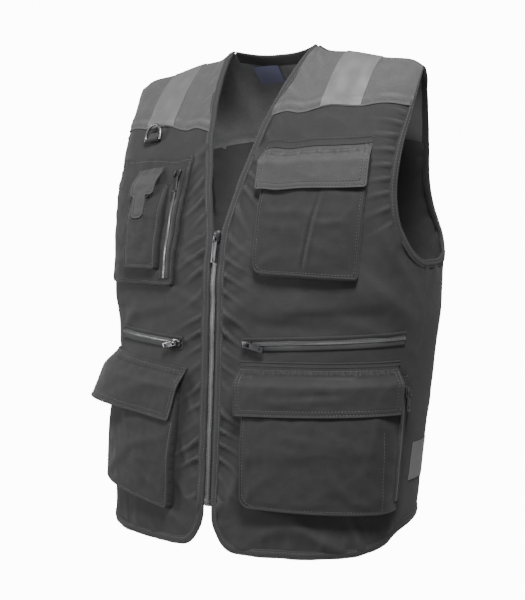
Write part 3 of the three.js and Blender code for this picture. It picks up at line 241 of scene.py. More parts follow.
def place(girth, height, out):
    """Points of the cloth in metres."""
    girth, height, out = np.broadcast_arrays(np.asarray(girth, float), np.asarray(height, float),
                                             np.asarray(out, float))
    turn = turn_at(girth)
    top = np.minimum(0, height)
    point = form(turn, top)
    across = form(turn + 0.001, top - 0.01) - form(turn - 0.001, top - 0.01)
    normal = np.cross(across, form(turn, np.minimum(0, top + 0.4)) - form(turn, top - 0.4))
    normal /= np.linalg.norm(normal, axis=-1, keepdims=True)
    upright = smooth(-1.6, 0, top)[..., None]
    normal = normal * (1 - upright) + np.array([0, 0, 1]) * upright
    normal /= np.linalg.norm(normal, axis=-1, keepdims=True)
    return (point + normal * (out + humps(girth, height, DRAPE))[..., None]) / 1000


# Edges of the vest
# Its outlines as lines of girth and height: the fronts run from the side seam round the hem
# and the rounded corner, up the zip and the neck to the shoulder ridge.
ZIP_HALF = 6.5
ZIP_END_DROP = 582
NECK_HALF = 66
NECK_DROP = 234
CORNER_WIDTH = 44
ARMHOLE_DROP = 258
SIDE_HEM_RISE = 26
ARMHOLE_FRONT_REACH = 73
ARMHOLE_BACK_REACH = 130
# how far the cloth's cut edge lies inside its binding
CUT_BACK = 7
# share of the half girth: rise of the hem above its lowest line
HEM = [(0, 0), (0.18, 0.02), (0.36, 0.3), (0.47, 0.75), (0.53, 1.3), (0.62, 1.56), (1, 1.4)]
# armhole from the shoulder ridge down to the side seam: reach and drop
ARMHOLE_FRONT = [(0.73, 0), (0.82, 0.12), (0.9, 0.248), (0.985, 0.4), (1, 0.59), (0.85, 0.79), (0.52, 0.92),
                 (0.22, 0.98), (0, 1)]
ARMHOLE_BACK = [(0.41, 0), (0.44, 0.025), (0.66, 0.1), (0.8, 0.2), (0.95, 0.42), (1, 0.61), (0.92, 0.77),
                (0.7, 0.9), (0.38, 0.985), (0, 1)]


def hem_height(girth):
    """The height of the hem at a girth."""
    return -HEM_DROP + SIDE_HEM_RISE * along(HEM, 1, np.abs(girth) / HALF_GIRTH)


def front_edge(height):
    """The girth of a front's free edge: along the zip, then slanting back along the neck."""
    return ZIP_HALF + (NECK_HALF - ZIP_HALF) * np.maximum(0, 1 + height / NECK_DROP)


def spaced(line, step):
    """A line with its points spread evenly, no further apart than a step."""
    line = np.asarray(line, float)
    reach = np.concatenate([[0], np.cumsum(np.linalg.norm(np.diff(line, axis=0), axis=1))])
    places = np.linspace(0, reach[-1], max(2, int(math.ceil(reach[-1] / step)) + 1))
    return np.stack([np.interp(places, reach, line[:, k]) for k in range(line.shape[1])], -1)


def curve(rows, count=24):
    """A smooth line through points, at an even pace between them."""
    rows = np.asarray(rows, float)
    ends = np.vstack([2 * rows[0] - rows[1], rows, 2 * rows[-1] - rows[-2]])
    line = []
    for a, b, c, d in zip(ends, ends[1:], ends[2:], ends[3:]):
        ka, kb, kc = [max(np.linalg.norm(q - p) ** 0.5, 1e-6) for p, q in ((a, b), (b, c), (c, d))]
        leave = ((b - a) / ka - (c - a) / (ka + kb) + (c - b) / kb) * kb
        arrive = ((c - b) / kb - (d - b) / (kb + kc) + (d - c) / kc) * kb
        t = np.linspace(0, 1, count, endpoint=False)[:, None]
        line.append((2 * t ** 3 - 3 * t ** 2 + 1) * b + (t ** 3 - 2 * t ** 2 + t) * leave
                    + (3 * t ** 2 - 2 * t ** 3) * c + (t ** 3 - t ** 2) * arrive)
    return np.vstack([*line, rows[-1:]])


def beside(line, distance):
    """A line moved sideways."""
    line = np.asarray(line, float)
    step = np.vstack([line[1:2] - line[:1], line[2:] - line[:-2], line[-1:] - line[-2:-1]])
    step /= np.linalg.norm(step, axis=1, keepdims=True)
    moved = line + distance * np.stack([step[:, 1], -step[:, 0]], -1)
    moved[:, 1] = np.minimum(0, moved[:, 1])
    return moved


def front_line():
    """From the side seam round the hem and the corner, up the zip and the neck to the ridge."""
    hem_girths = np.linspace(SIDE_SEAM, ZIP_HALF + CORNER_WIDTH, 40)
    hem = np.stack([hem_girths, hem_height(hem_girths)], -1)
    bend = np.linspace(1, 0, 16)[1:] * math.pi / 2
    foot = hem_height(ZIP_HALF + CORNER_WIDTH)
    corner = np.stack([ZIP_HALF + CORNER_WIDTH * (1 - np.cos(bend)),
                       -ZIP_END_DROP + (foot + ZIP_END_DROP) * np.sin(bend)], -1)
    climb = np.concatenate([np.linspace(-ZIP_END_DROP, -NECK_DROP, 40)[1:],
                            np.linspace(-NECK_DROP, 0, 60)[1:]])
    return np.vstack([hem, corner, np.stack([front_edge(climb), climb], -1)])


def arm_line(rows, reach, towards):
    """Half an armhole, reaching to the front or to the back of the side seam."""
    return curve([(SIDE_SEAM + towards * share * reach, -drop * ARMHOLE_DROP) for share, drop in rows])


FRONT_LINE = front_line()
FRONT_ARM = arm_line(ARMHOLE_FRONT, ARMHOLE_FRONT_REACH, -1)[::-1]
BACK_ARM = arm_line(ARMHOLE_BACK, ARMHOLE_BACK_REACH, 1)[::-1]


def inside(points, outline):
    """Which points lie inside a closed outline."""
    x, y = points[:, 0], points[:, 1]
    odd = np.zeros(len(points), bool)
    for (x1, y1), (x2, y2) in zip(outline, np.roll(outline, -1, 0)):
        if y1 != y2:
            odd ^= ((y1 > y) != (y2 > y)) & (x < (x2 - x1) * (y - y1) / (y2 - y1) + x1)
    return odd


def nearest(points, line):
    """Distance from points to an open line, and how far along it the nearest place is."""
    line = np.asarray(line, float)
    best = np.full(len(points), 1e9)
    where = np.zeros(len(points))
    reach = 0.0
    for start, end in zip(line, line[1:]):
        span = end - start
        length = float(np.linalg.norm(span))
        if length < 1e-9:
            continue
        share = np.clip((points - start) @ span / length ** 2, 0, 1)
        gap = np.linalg.norm(points - (start + share[:, None] * span), axis=1)
        closer = gap < best
        best[closer] = gap[closer]
        where[closer] = reach + share[closer] * length
        reach += length
    return best, where


def rough(points, size, seed):
    """Even random swells between about -1 and 1, of a size in millimetres."""
    return np.array([noise.noise(Vector((u / size, v / size, seed))) for u, v in points]) * 1.8


def crumple(points, size, seed):
    """Soft facets between sharp little ridges, as in washed cotton."""
    turned = points @ np.array([[0.8, -0.6], [0.6, 0.8]])
    first = 1 - 2.2 * np.abs(rough(points * (1, 1.5), size, seed))
    second = 1 - 2.2 * np.abs(rough(turned, size * 0.55, seed + 5))
    return 0.6 * first + 0.3 * second


def make_piece(name, vertices, faces, uv, sharp=40):
    """A mesh with its cut as a UV map: girth and height on the flat cloth, in metres."""
    mesh = bpy.data.meshes.new(name)
    mesh.from_pydata([tuple(v) for v in vertices], [], faces)
    layer = mesh.uv_layers.new(name="cut")
    corners = np.zeros(len(mesh.loops), int)
    mesh.loops.foreach_get("vertex_index", corners)
    layer.data.foreach_set("uv", (np.asarray(uv)[corners] / 1000).astype(np.float32).ravel())
    mesh.shade_smooth()
    mesh.set_sharp_from_angle(angle=math.radians(sharp))
    piece = bpy.data.objects.new(name, mesh)
    bpy.context.scene.collection.objects.link(piece)
    return piece


def cloth(name, outline, step, thickness, lift, rings=()):
    """A sheet of two faces, cut to an outline of girth and height. lift gives the height of its outer
    face. rings are distances in from the outline at which it gets extra lines of points."""
    outline = np.asarray(outline, float)
    edge = spaced(np.vstack([outline, outline[:1]]), step)[:-1]
    area = np.sum(edge[:, 0] * np.roll(edge[:, 1], -1) - edge[:, 1] * np.roll(edge[:, 0], -1))
    if area < 0:
        edge = edge[::-1]
    closed_edge = np.vstack([edge, edge[:1]])
    inner = []
    for ring in rings:
        line = beside(closed_edge, -ring)[:-1]
        far, _ = nearest(line, closed_edge)
        inner.append(line[inside(line, edge) & (far > ring * 0.8)])
    low, high = edge.min(0), edge.max(0)
    columns = np.arange(low[0] + step / 2, high[0], step)
    rows = np.arange(low[1] + step / 2, high[1], step * 0.87)
    grid = np.stack(np.meshgrid(columns, rows), -1)
    grid[::2, :, 0] += step / 2
    grid = grid.reshape(-1, 2)
    grid = grid[inside(grid, edge)]
    far, _ = nearest(grid, closed_edge)
    inner.append(grid[far > (rings[-1] if rings else 0) + step * 0.55])
    points = np.vstack([edge, *inner])
    loops = [(i, (i + 1) % len(edge)) for i in range(len(edge))]
    flat, _, faces, _, _, _ = delaunay_2d_cdt([Vector(p) for p in points], loops, [], 1, 1e-5)
    flat = np.array([tuple(p) for p in flat])
    faces = np.array([f for f in faces if len(f) == 3])
    top = lift(flat)
    pairs = np.vstack([faces[:, [0, 1]], faces[:, [1, 2]], faces[:, [2, 0]]])
    bulge = np.zeros(len(flat))
    spread = np.full(len(flat), 14.0)
    for a, b in ((0, 1), (1, 0)):
        np.add.at(bulge, pairs[:, a], top[pairs[:, a]] - top[pairs[:, b]])
        np.add.at(spread, pairs[:, a], np.sum((flat[pairs[:, a]] - flat[pairs[:, b]]) ** 2, axis=1))
    # This curvature layer makes the twill paler on ridges, as wear, and darker in hollows, as painted shade.
    wear_and_crease_shade = np.clip(4 * bulge / spread / 0.16, -1, 1)
    outer_face = place(flat[:, 0], flat[:, 1], top)
    inner_face = place(flat[:, 0], flat[:, 1], top - thickness)
    vertices = np.vstack([outer_face, inner_face])
    count = len(flat)
    known = {tuple(pair) for pair in pairs.tolist()}
    border = [pair for pair in known if (pair[1], pair[0]) not in known]
    walls = [(b, a, a + count, b + count) for a, b in border]
    polygons = faces.tolist() + (faces[:, ::-1] + count).tolist() + walls
    piece = face_out(make_piece(name, vertices, polygons, np.vstack([flat, flat])))
    layer = piece.data.attributes.new("wear_and_crease_shade", "FLOAT", "POINT")
    layer.data.foreach_set("value", np.concatenate([wear_and_crease_shade, wear_and_crease_shade * 0]).astype(np.float32))
    layer = piece.data.attributes.new("reverse", "FLOAT", "POINT")
    layer.data.foreach_set("value", np.concatenate([wear_and_crease_shade * 0, wear_and_crease_shade * 0 + 1]).astype(np.float32))
    return piece


def face_out(piece):
    """Turns a closed shell so that its faces point outwards."""
    mesh = piece.data
    mesh.calc_loop_triangles()
    places = np.zeros(len(mesh.vertices) * 3)
    mesh.vertices.foreach_get("co", places)
    places = places.reshape(-1, 3)
    corners = np.zeros(len(mesh.loop_triangles) * 3, int)
    mesh.loop_triangles.foreach_get("vertices", corners)
    a, b, c = places[corners.reshape(-1, 3)].transpose(1, 0, 2)
    if np.einsum("ij,ij->", a, np.cross(b, c)) < 0:
        mesh.flip_normals()
    return piece


# Twill
# The cloth is a dark grey cotton and polyester twill. Its fine slanting ribs are in the weave;
# folds and seams are a little paler where they rub, and its hollows are darkened as painted shade.
class Wire:
    """A value in a material, for maths written as plain expressions."""

    def __init__(self, tree, socket):
        self.tree, self.socket = tree, socket

    def _maths(self, operation, first, second=None):
        node = self.tree.nodes.new("ShaderNodeMath")
        node.operation = operation
        for slot, item in zip(node.inputs, (first, second)):
            if isinstance(item, Wire):
                self.tree.links.new(item.socket, slot)
            elif item is not None:
                slot.default_value = item
        return Wire(self.tree, node.outputs[0])

    def __add__(self, other):
        return self._maths("ADD", self, other)

    def __sub__(self, other):
        return self._maths("SUBTRACT", self, other)

    def __rsub__(self, other):
        return self._maths("SUBTRACT", other, self)

    def __mul__(self, other):
        return self._maths("MULTIPLY", self, other)

    def sine(self):
        return self._maths("SINE", self)

    def clamp(self):
        return self._maths("MINIMUM", self._maths("MAXIMUM", self, 0.0), 1.0)

    __radd__ = __add__
    __rmul__ = __mul__


class Finish:
    """A material and its nodes."""

    def __init__(self, name):
        self.material = bpy.data.materials.new(name)
        self.material.use_nodes = True
        self.tree = self.material.node_tree
        self.shader = self.tree.nodes["Principled BSDF"]

    def node(self, kind, settings=(), output=0, **values):
        """Adds a node. A value goes to the socket of its name, or to _3 for the fourth socket."""
        made = self.tree.nodes.new(kind)
        for key, value in dict(settings).items():
            setattr(made, key, value)
        for key, value in values.items():
            slot = made.inputs[int(key[1:])] if key[0] == "_" else made.inputs[key]
            if isinstance(value, Wire):
                self.tree.links.new(value.socket, slot)
            else:
                slot.default_value = value
        return Wire(self.tree, made.outputs[output])

    def mix(self, share, first, second):
        """A colour between two colours."""
        return self.node("ShaderNodeMix", {"data_type": "RGBA"}, output=2, _0=share, _6=first, _7=second)

    def set(self, **values):
        """Sets the main shader's sockets."""
        for key, value in values.items():
            slot = self.shader.inputs[key.replace("_", " ")]
            if isinstance(value, Wire):
                self.tree.links.new(value.socket, slot)
            else:
                slot.default_value = value

    def put_on(self, piece, slot):
        """Finishes a piece; the slot is not used."""
        piece.data.materials.clear()
        piece.data.materials.append(self.material)


def twill(name, tone, rib=0.0011, wear_and_shade=0.35):
    """Twill of one tone: slanting ribs, mottled yarn, paler rubbed high places, hollows darkened as painted
    shade, and an inner face made paler partly as the twill's reverse and partly as painted light.
    """
    finish = Finish(name)
    cut = finish.node("ShaderNodeUVMap", {"uv_map": "cut"})
    over = finish.node("ShaderNodeSeparateXYZ", output=0, Vector=cut)
    up = finish.node("ShaderNodeSeparateXYZ", output=1, Vector=cut)
    yarn = finish.node("ShaderNodeTexNoise", {"noise_dimensions": "3D"}, Vector=cut, Scale=430.0, Detail=4.0,
                       Roughness=0.7)
    reverse = finish.node("ShaderNodeAttribute", {"attribute_name": "reverse"}, output=2)
    ribs = ((over * 0.8 - up * 0.6) * (2 * math.pi / rib) + yarn * 2.0).sine()
    weft = ((over * 0.6 + up * 0.8) * (2 * math.pi / (rib * 0.62))).sine()
    weave = ribs * 0.7 + weft * 0.3
    mottle = finish.node("ShaderNodeTexNoise", {"noise_dimensions": "3D"}, Vector=cut, Scale=60.0, Detail=6.0,
                         Roughness=0.65)
    broad = finish.node("ShaderNodeTexNoise", {"noise_dimensions": "3D"}, Vector=cut, Scale=9.0, Detail=3.0)
    wear_and_crease_shade = finish.node("ShaderNodeAttribute", {"attribute_name": "wear_and_crease_shade"}, output=2)
    # The curvature layer pales ridges as wear and darkens hollows as painted shade.
    light = (0.62 + weave * 0.05 + (yarn - 0.5) * 0.75 + (mottle - 0.5) * 0.45 + (broad - 0.5) * 0.2
             + wear_and_crease_shade * wear_and_shade * (0.6 + mottle * 0.8)).clamp()
    dark, bright = tone * 0.4, tone * 1.4
    # The inner face is twice as pale: partly the twill's paler reverse, partly painted light where the inside
    # of the vest lies in shade.
    faces = [finish.mix(light, (dark * reverse_and_painted_light, dark * reverse_and_painted_light, dark * reverse_and_painted_light * 1.02, 1),
                        (bright * reverse_and_painted_light, bright * reverse_and_painted_light, bright * reverse_and_painted_light * 1.01, 1)) for reverse_and_painted_light in (1, 2)]
    shade = finish.mix(reverse, *faces)
    bump = finish.node("ShaderNodeBump", Strength=0.35, Distance=0.0003, Height=weave * 0.5 + yarn * 0.6)
    finish.set(Base_Color=shade, Roughness=(0.8 + (mottle - 0.5) * 0.15 - wear_and_crease_shade * 0.08).clamp(), Normal=bump)
    finish.set(Sheen_Weight=0.03, Sheen_Roughness=0.45, Specular_IOR_Level=0.1)
    return finish


FRONT_TWILL = twill("front_twill", 0.0100)
# The pockets get a darker copy of the same twill: painted shade.
SHADED_POCKET_TWILL = twill("shaded_pocket_twill", 0.0082)
# The yokes get a copy of the same twill nearly three times as pale: painted light on the top of the vest.
LIT_YOKE_TWILL = twill("lit_yoke_twill", 0.0275)
BINDING_TWILL = twill("binding_twill", 0.0115, rib=0.0009, wear_and_shade=0.3)


# Fronts
# Each front is one layer of twill from the hem to the yoke seam. The tight binding gathers it
# into short slanting puckers along the zip, the neck and the armhole.
TWILL_THICKNESS = 1.6
# drop of the yoke seam at the neck and at the armhole, on the wearer's left and right
YOKE_SEAM = {1: (94, 56), -1: (110, 72)}
# how far inside an edge its gathers start
GATHER_INSET = 9


def puckers(points, line, reach, pitch, height, slant, seed):
    """Gathers that stand off a tight seam: they start just off it and fade within a reach."""
    far, where = nearest(points, line)
    drift = rough(np.stack([where, far * 0.4], -1), 70, seed) * 2.2
    uneven = 0.65 + 0.55 * rough(np.stack([where, far * 0], -1), 40, seed + 7)
    wave = np.sin(2 * math.pi * (where + slant * far) / pitch + drift)
    fade = np.exp(-(far / reach) ** 1.4) * smooth(0.5, 6, far)
    crisp = np.exp(-((1 - wave) / 0.55) ** 1.2) * 1.8 - 0.5
    return height * np.clip(uneven, 0.1, 1.6) * crisp * fade


def seam_line(start, end, wave, ripple):
    """A seam from start to end that bows and ripples a little."""
    share = np.linspace(0, 1, 60)
    line = np.asarray(start) + (np.asarray(end) - np.asarray(start)) * share[:, None]
    line[:, 1] += wave * np.sin(math.pi * share) + ripple * np.sin(share * 19) * np.sin(math.pi * share)
    return line


def cut_above(line, height):
    """A climbing line parted at a height."""
    after = int(np.argmax(line[:, 1] > height))
    share = (height - line[after - 1, 1]) / (line[after, 1] - line[after - 1, 1])
    point = line[after - 1] + share * (line[after] - line[after - 1])
    return np.vstack([line[:after], point]), np.vstack([point, line[after:]])


def mirrored(line, side):
    """A line of the wearer's left, on its own side or carried to the right."""
    return np.asarray(line, float) * np.array([side, 1.0])


def fit(piece, finish, slot_name, node, body="vest"):
    """Finishes a piece, lets it ride on a body, and hides the solid that it stands for."""
    finish.put_on(piece, slot_name)
    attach(piece, body)
    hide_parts(node)


def declare(piece, outline):
    """Works out the girth and cloth length of a sheet's outline and how far its outer face's area grows past
    them, but does nothing with the result.
    """
    outline = np.asarray(outline, float)
    low, high = outline.min(0), outline.max(0)
    heights = np.linspace(low[1], high[1], 60)
    line = place(np.full(60, (low[0] + high[0]) / 2), heights, 0)
    length = float(np.sum(np.linalg.norm(np.diff(line, axis=0), axis=1)))
    across = outline[:, 0] * np.roll(outline[:, 1], -1) - outline[:, 1] * np.roll(outline[:, 0], -1)
    share = abs(float(np.sum(across))) / 2 / ((high[0] - low[0]) * (high[1] - low[1]))
    width = float(high[0] - low[0]) / 1000
    outer_points = len(piece.data.vertices) // 2
    area = sum(face.area for face in piece.data.polygons if max(face.vertices) < outer_points)
    growth = math.sqrt(area / (width * length * share))


def raised(lift, height):
    """The same lift, a little higher."""
    return lambda points: lift(points) + height


# smaller folds of the fronts: girth, drop, run, spread, height, turn
FINE_FOLDS = [
    (26, 262, 30, 6, 1.6, 28),
    (36, 300, 34, 7, 1.8, 20),
    (32, 338, 30, 6, 1.5, -14),
    (150, 322, 70, 9, 1.8, 6),
    (120, 345, 60, 8, -1.5, -4),
    (235, 300, 44, 9, 2.4, -38),
    (255, 262, 40, 8, 2.2, -50),
    (215, 345, 50, 8, 1.6, -20),
    (120, 600, 70, 9, 2.6, 8),
    (190, 612, 50, 8, 2.8, -24),
    (230, 600, 30, 7, 2.4, -60),
    (80, 618, 40, 8, 1.8, 30),
    (42, 560, 24, 7, 2.0, 70),
    (-34, 270, 30, 6, 1.6, -26),
    (-42, 312, 36, 7, 1.8, -16),
    (-120, 330, 60, 9, 2.2, 10),
    (-32, 455, 22, 6, 1.8, -58),
    (-38, 520, 26, 6, 2.0, -62),
    (-60, 600, 40, 8, 2.0, -26),
    (-170, 350, 30, 8, 2.2, 40),
    (-48, 560, 30, 7, 1.8, -40),
]
seams = {}
for side in (1, -1):
    inner_drop, outer_drop = YOKE_SEAM[side]
    opening, neck = cut_above(beside(FRONT_LINE, CUT_BACK), -inner_drop)
    arm, arm_top = cut_above(beside(FRONT_ARM, -CUT_BACK), -outer_drop)
    seams[side] = {"opening": opening, "neck": neck, "arm": arm, "arm_top": arm_top,
                   "line": seam_line(opening[-1], arm[-1], 6, 1.3)}


def front_relief(points):
    """Folds, gathers and small creases of a front. They die out under the yoke seam."""
    points = np.asarray(points, float)
    side = 1 if np.mean(points[:, 0]) > 0 else -1
    line = mirrored(FRONT_LINE, side)
    zip_part = line[(line[:, 1] > -ZIP_END_DROP) & (np.abs(line[:, 0]) < 30)]
    neck_part = line[line[:, 1] > -NECK_DROP + 10]
    hem_part = line[line[:, 1] < -ZIP_END_DROP + 10]
    arm_part = mirrored(FRONT_ARM, side)
    off = humps(points[:, 0], points[:, 1], FINE_FOLDS)
    # edge, its direction, then the gathers' reach, pitch, height, slant and seed
    gathers = [
        (zip_part, 1, 26, 24, 3.0, 0.5, 3.1),
        (neck_part, 1, 13, 34, 0.9, 0.5, 5.3),
        (hem_part, 1, 20, 40, 1.0, 0.4, 8.7),
        (arm_part[70:150], -1, 26, 18, 2.8, 0.15, 12.9),
        (arm_part[:70], -1, 16, 30, 0.8, 0.5, 15.9),
    ]
    for part, towards, reach, pitch, height, slant, seed in gathers:
        inner = beside(part, towards * GATHER_INSET * side)
        off += puckers(points, inner, reach, pitch, height, slant, seed + side)
    off += 0.7 * rough(points, 46, 2.2) + 0.3 * rough(points, 17, 4.4) + 0.55 * crumple(points, 52, 5.5)
    far, _ = nearest(points, mirrored(seams[side]["line"], side))
    return off * smooth(-2, 14, far)


def on_front(points):
    """The height of a front's outer face."""
    return 0.8 + front_relief(points)


for side, label in ((1, "left"), (-1, "right")):
    edge = seams[side]
    opening, arm = edge["opening"].copy(), edge["arm"].copy()
    opening[0, 0] = SIDE_SEAM
    arm[0, 0] = SIDE_SEAM
    outline = mirrored(np.vstack([opening, edge["line"][1:-1] + (0, 5), arm[::-1]]), side)
    piece = cloth(f"{label}_front", outline, 3.4, TWILL_THICKNESS, on_front)
    fit(piece, FRONT_TWILL, "twill", f"front_{label}_panel")
    declare(piece, outline)

# Back
# One wide piece of twill from the hem to the back yoke seam. Seen from the front it is the
# dark inside of the vest.
BACK_SEAM_DROP = 108


def facing(line):
    """A line of the wearer's left back carried to the right."""
    return np.stack([2 * HALF_GIRTH - line[:, 0], line[:, 1]], -1)


def back_relief(points):
    """Slight swells of the back, and gathers beside its armholes."""
    off = 0.9 * rough(points, 90, 6.6) + 0.45 * rough(points, 34, 7.7) + 0.2 * rough(points, 15, 8.8)
    for line in (BACK_ARM, facing(BACK_ARM)):
        off = off + puckers(points, line, 22, 24, 1.8, 0.3, 21.0)
    return off


back_arm, back_arm_top = cut_above(beside(BACK_ARM, CUT_BACK), -BACK_SEAM_DROP)
back_arm[0, 0] = SIDE_SEAM
hem_girths = np.linspace(SIDE_SEAM, 2 * HALF_GIRTH - SIDE_SEAM, 80)
back_hem = np.stack([hem_girths, hem_height(np.minimum(hem_girths, 2 * HALF_GIRTH - hem_girths))], -1)
back_outline = np.vstack([back_hem + (0, 4), facing(back_arm), facing(back_arm)[-1:] + (0, 5),
                          back_arm[-1:] + (0, 5), back_arm[::-1]])
back = cloth("back_twill", back_outline, 6, TWILL_THICKNESS, raised(back_relief, 0.8))
fit(back, FRONT_TWILL, "twill", "back_panel")
declare(back, back_outline)

# Yokes
# A yoke over each front and one across the back, lapped on the panels below. Each is turned
# under and topstitched, and a soft fold lies just above its seam.
NECK_POINT = behind(NECK_HALF)
BACK_NECK_DROP = 9
YOKE_THICKNESS = 1.5
# extra lines of points beside a yoke's edge, for its topstitched fold
YOKE_RINGS = (1.2, 2.4, 3.6, 4.8)


def yoke_relief(points, side):
    """The soft fold and the stitched dip above the seam, then gathers and creases."""
    seam = mirrored(seams[side]["line"], side)
    far, where = nearest(points, seam)
    soft = 0.7 + 0.5 * rough(np.stack([where, far * 0], -1), 24, 31 + side)
    off = 1.3 * soft * np.exp(-((far - 10) / 3.4) ** 2) - 0.45 * np.exp(-((far - 3.2) / 0.9) ** 2)
    off += 0.8 * rough(points, 55, 32.2 + side) + 0.3 * rough(points, 19, 33.1)
    off += 0.5 * crumple(points, 48, 33.7 + side)
    neck = mirrored(FRONT_LINE[FRONT_LINE[:, 1] > -140], side)
    arm = mirrored(FRONT_ARM[-60:], side)
    off += puckers(points, beside(neck, GATHER_INSET * side), 14, 27, 0.9, 0.4, 34.0 + side)
    off += puckers(points, beside(arm, -GATHER_INSET * side), 14, 24, 0.9, 0.4, 36.0 + side)
    return off * (1 - 0.7 * smooth(-14, -2, points[:, 1]))


def on_yoke(side):
    """The height of a front yoke's outer face, which laps over the front."""
    return lambda points: 2.1 + yoke_relief(points, side)


for side, label in ((1, "left"), (-1, "right")):
    edge = seams[side]
    outline = mirrored(np.vstack([edge["neck"], edge["arm_top"][::-1], edge["line"][::-1][1:-1]]), side)
    piece = cloth(f"{label}_yoke", outline, 3.0, YOKE_THICKNESS, on_yoke(side), YOKE_RINGS)
    fit(piece, LIT_YOKE_TWILL, "yoke", f"front_{label}_yoke")
    declare(piece, outline)


def neck_line(inset):
    """The back of the neck from one shoulder ridge to the other."""
    turn = np.linspace(0, math.pi / 2, 30)
    share = np.cos(turn)
    girth = HALF_GIRTH - share * (HALF_GIRTH - NECK_POINT + inset)
    height = -BACK_NECK_DROP * (1 - share ** 2.5) - inset * 0.22 * np.sqrt(1 - share ** 4)
    half = np.stack([girth, np.minimum(0, height)], -1)
    return np.vstack([half, facing(half)[::-1][1:]])


def back_yoke_relief(points):
    """Slight swells of the back yoke, and the stitched dip and soft fold above its seam."""
    off = 0.7 * rough(points, 60, 41) + 0.3 * rough(points, 22, 42)
    down = points[:, 1] + BACK_SEAM_DROP
    off += 1.0 * np.exp(-((down - 10) / 3.5) ** 2) - 0.4 * np.exp(-((down - 3) / 1.0) ** 2)
    return off * (1 - smooth(-8, -1, points[:, 1]))


inner_neck = neck_line(CUT_BACK)
back_yoke_outline = np.vstack([facing(back_arm_top), inner_neck[::-1], back_arm_top[::-1]])
back_yoke = cloth("back_yoke_twill", back_yoke_outline, 4.5, YOKE_THICKNESS,
                  raised(back_yoke_relief, 2.0))
fit(back_yoke, LIT_YOKE_TWILL, "yoke", "back_yoke")
declare(back_yoke, back_yoke_outline)

# Bindings
# A folded strip of the same twill is wrapped round every open edge and stitched down twice,
# near its fold and near its inner edge.

# sideways from the binding's fold towards the cloth, and outwards
BINDING_SECTION = [
    (11.2, -1.2), (11.2, 1.3), (10.4, 1.9), (9.4, 2.0), (8.7, 1.6), (8.0, 2.1), (6.2, 2.4), (4.4, 2.4),
    (3.2, 2.1), (2.5, 1.7), (1.8, 2.0), (0.6, 1.8), (-0.3, 1.0), (-0.6, 0), (-0.3, -1.0), (0.8, -1.8),
    (4, -2.1), (8, -2.0), (10.6, -1.8),
]
# along the front edge the fold is set back a little, so that it ends on the edge's line
FRONT_EDGE_SECTION = [(a + 0.6 if a < 2 else a, out) for a, out in BINDING_SECTION]
# the two rows of stitches: how far in from the fold, and how high
FOLD_STITCH, FOLD_STITCH_RISE = 2.5, 1.7
INNER_STITCH, INNER_STITCH_RISE = 8.7, 1.6


def sweep(line, section, lift, flip=1):
    """A closed section swept along a line: its points are sideways and outwards of the line."""
    line = np.asarray(line, float)
    rows, cuts = [], []
    for sideways, out in section:
        moved = beside(line, flip * sideways)
        rows.append(place(moved[:, 0], moved[:, 1], lift(moved) + out))
        cuts.append(moved + (0, out))
    rows = np.array(rows)
    around, count = len(section), len(line)
    index = np.arange(around * count).reshape(around, count)
    faces = []
    for k in range(around):
        a, b = index[k], index[(k + 1) % around]
        faces += np.stack([a[:-1], b[:-1], b[1:], a[1:]], -1).tolist()
    faces += [index[:, 0].tolist(), index[::-1, -1].tolist()]
    return rows.reshape(-1, 3), faces, np.array(cuts).reshape(-1, 2)


def swept(name, parts):
    """One piece from several swept parts."""
    vertices, faces, cuts, start = [], [], [], 0
    for part_vertices, part_faces, part_cuts in parts:
        volume = 0
        for face in part_faces:
            a = part_vertices[face[0]]
            for b, c in zip(face[1:], face[2:]):
                volume += np.dot(a, np.cross(part_vertices[b], part_vertices[c]))
        turned = part_faces if volume > 0 else [face[::-1] for face in part_faces]
        vertices.append(part_vertices)
        cuts.append(part_cuts)
        faces += [[v + start for v in face] for face in turned]
        start += len(part_vertices)
    return make_piece(name, np.vstack(vertices), faces, np.vstack(cuts))


def level(points):
    """No lift at all."""
    return np.zeros(len(points))


def sway(scale, seed):
    """A binding's slow rise and fall along its edge."""
    return lambda points: scale * rough(points, 30, seed)


def edge_sway(side):
    """The sway of a front's binding."""
    return sway(0.7, 52.5 + side)


def arm_sway(side):
    """The sway of an armhole's binding."""
    return sway(0.7, 57 + side)


def beside_by(line, distances):
    """A line moved sideways by a distance of its own at each point."""
    step = np.gradient(line, axis=0)
    step /= np.linalg.norm(step, axis=1, keepdims=True)
    moved = line + distances[:, None] * np.stack([step[:, 1], -step[:, 0]], -1)
    moved[:, 1] = np.minimum(0, moved[:, 1])
    return moved


binding_lines = {}
for side, label in ((1, "left"), (-1, "right")):
    whole = spaced(FRONT_LINE, 3)
    whole[0, 0] = SIDE_SEAM
    calm = smooth(-20, -60, whole[:, 1])
    line = beside_by(whole, 0.8 * calm * rough(whole * (side, 1), 24, 51 + side))
    line[0], line[-1] = whole[0], whole[-1]
    line = mirrored(line, side)
    piece = swept(f"{label}_front_edge", [sweep(line, FRONT_EDGE_SECTION, edge_sway(side), side)])
    fit(piece, BINDING_TWILL, "binding", f"{label}_front_binding")
    binding_lines[side] = line

hem_binding = swept("back_hem_edge", [sweep(spaced(back_hem, 4)[::-1], BINDING_SECTION, sway(0.6, 55))])
neck_binding = swept("back_neck_edge", [sweep(spaced(neck_line(0), 3), BINDING_SECTION, level)])
for piece, node in ((hem_binding, "back_hem_binding"), (neck_binding, "back_neck_binding")):
    fit(piece, BINDING_TWILL, "binding", node)
for side, label in ((1, "left"), (-1, "right")):
    parts = []
    for line, flip in ((spaced(FRONT_ARM, 3), -side), (spaced(BACK_ARM, 3), side)):
        parts.append(sweep(mirrored(line, side), BINDING_SECTION, arm_sway(side), flip))
    piece = swept(f"{label}_armhole_edge", parts)
    fit(piece, BINDING_TWILL, "binding", f"{label}_armhole_binding")

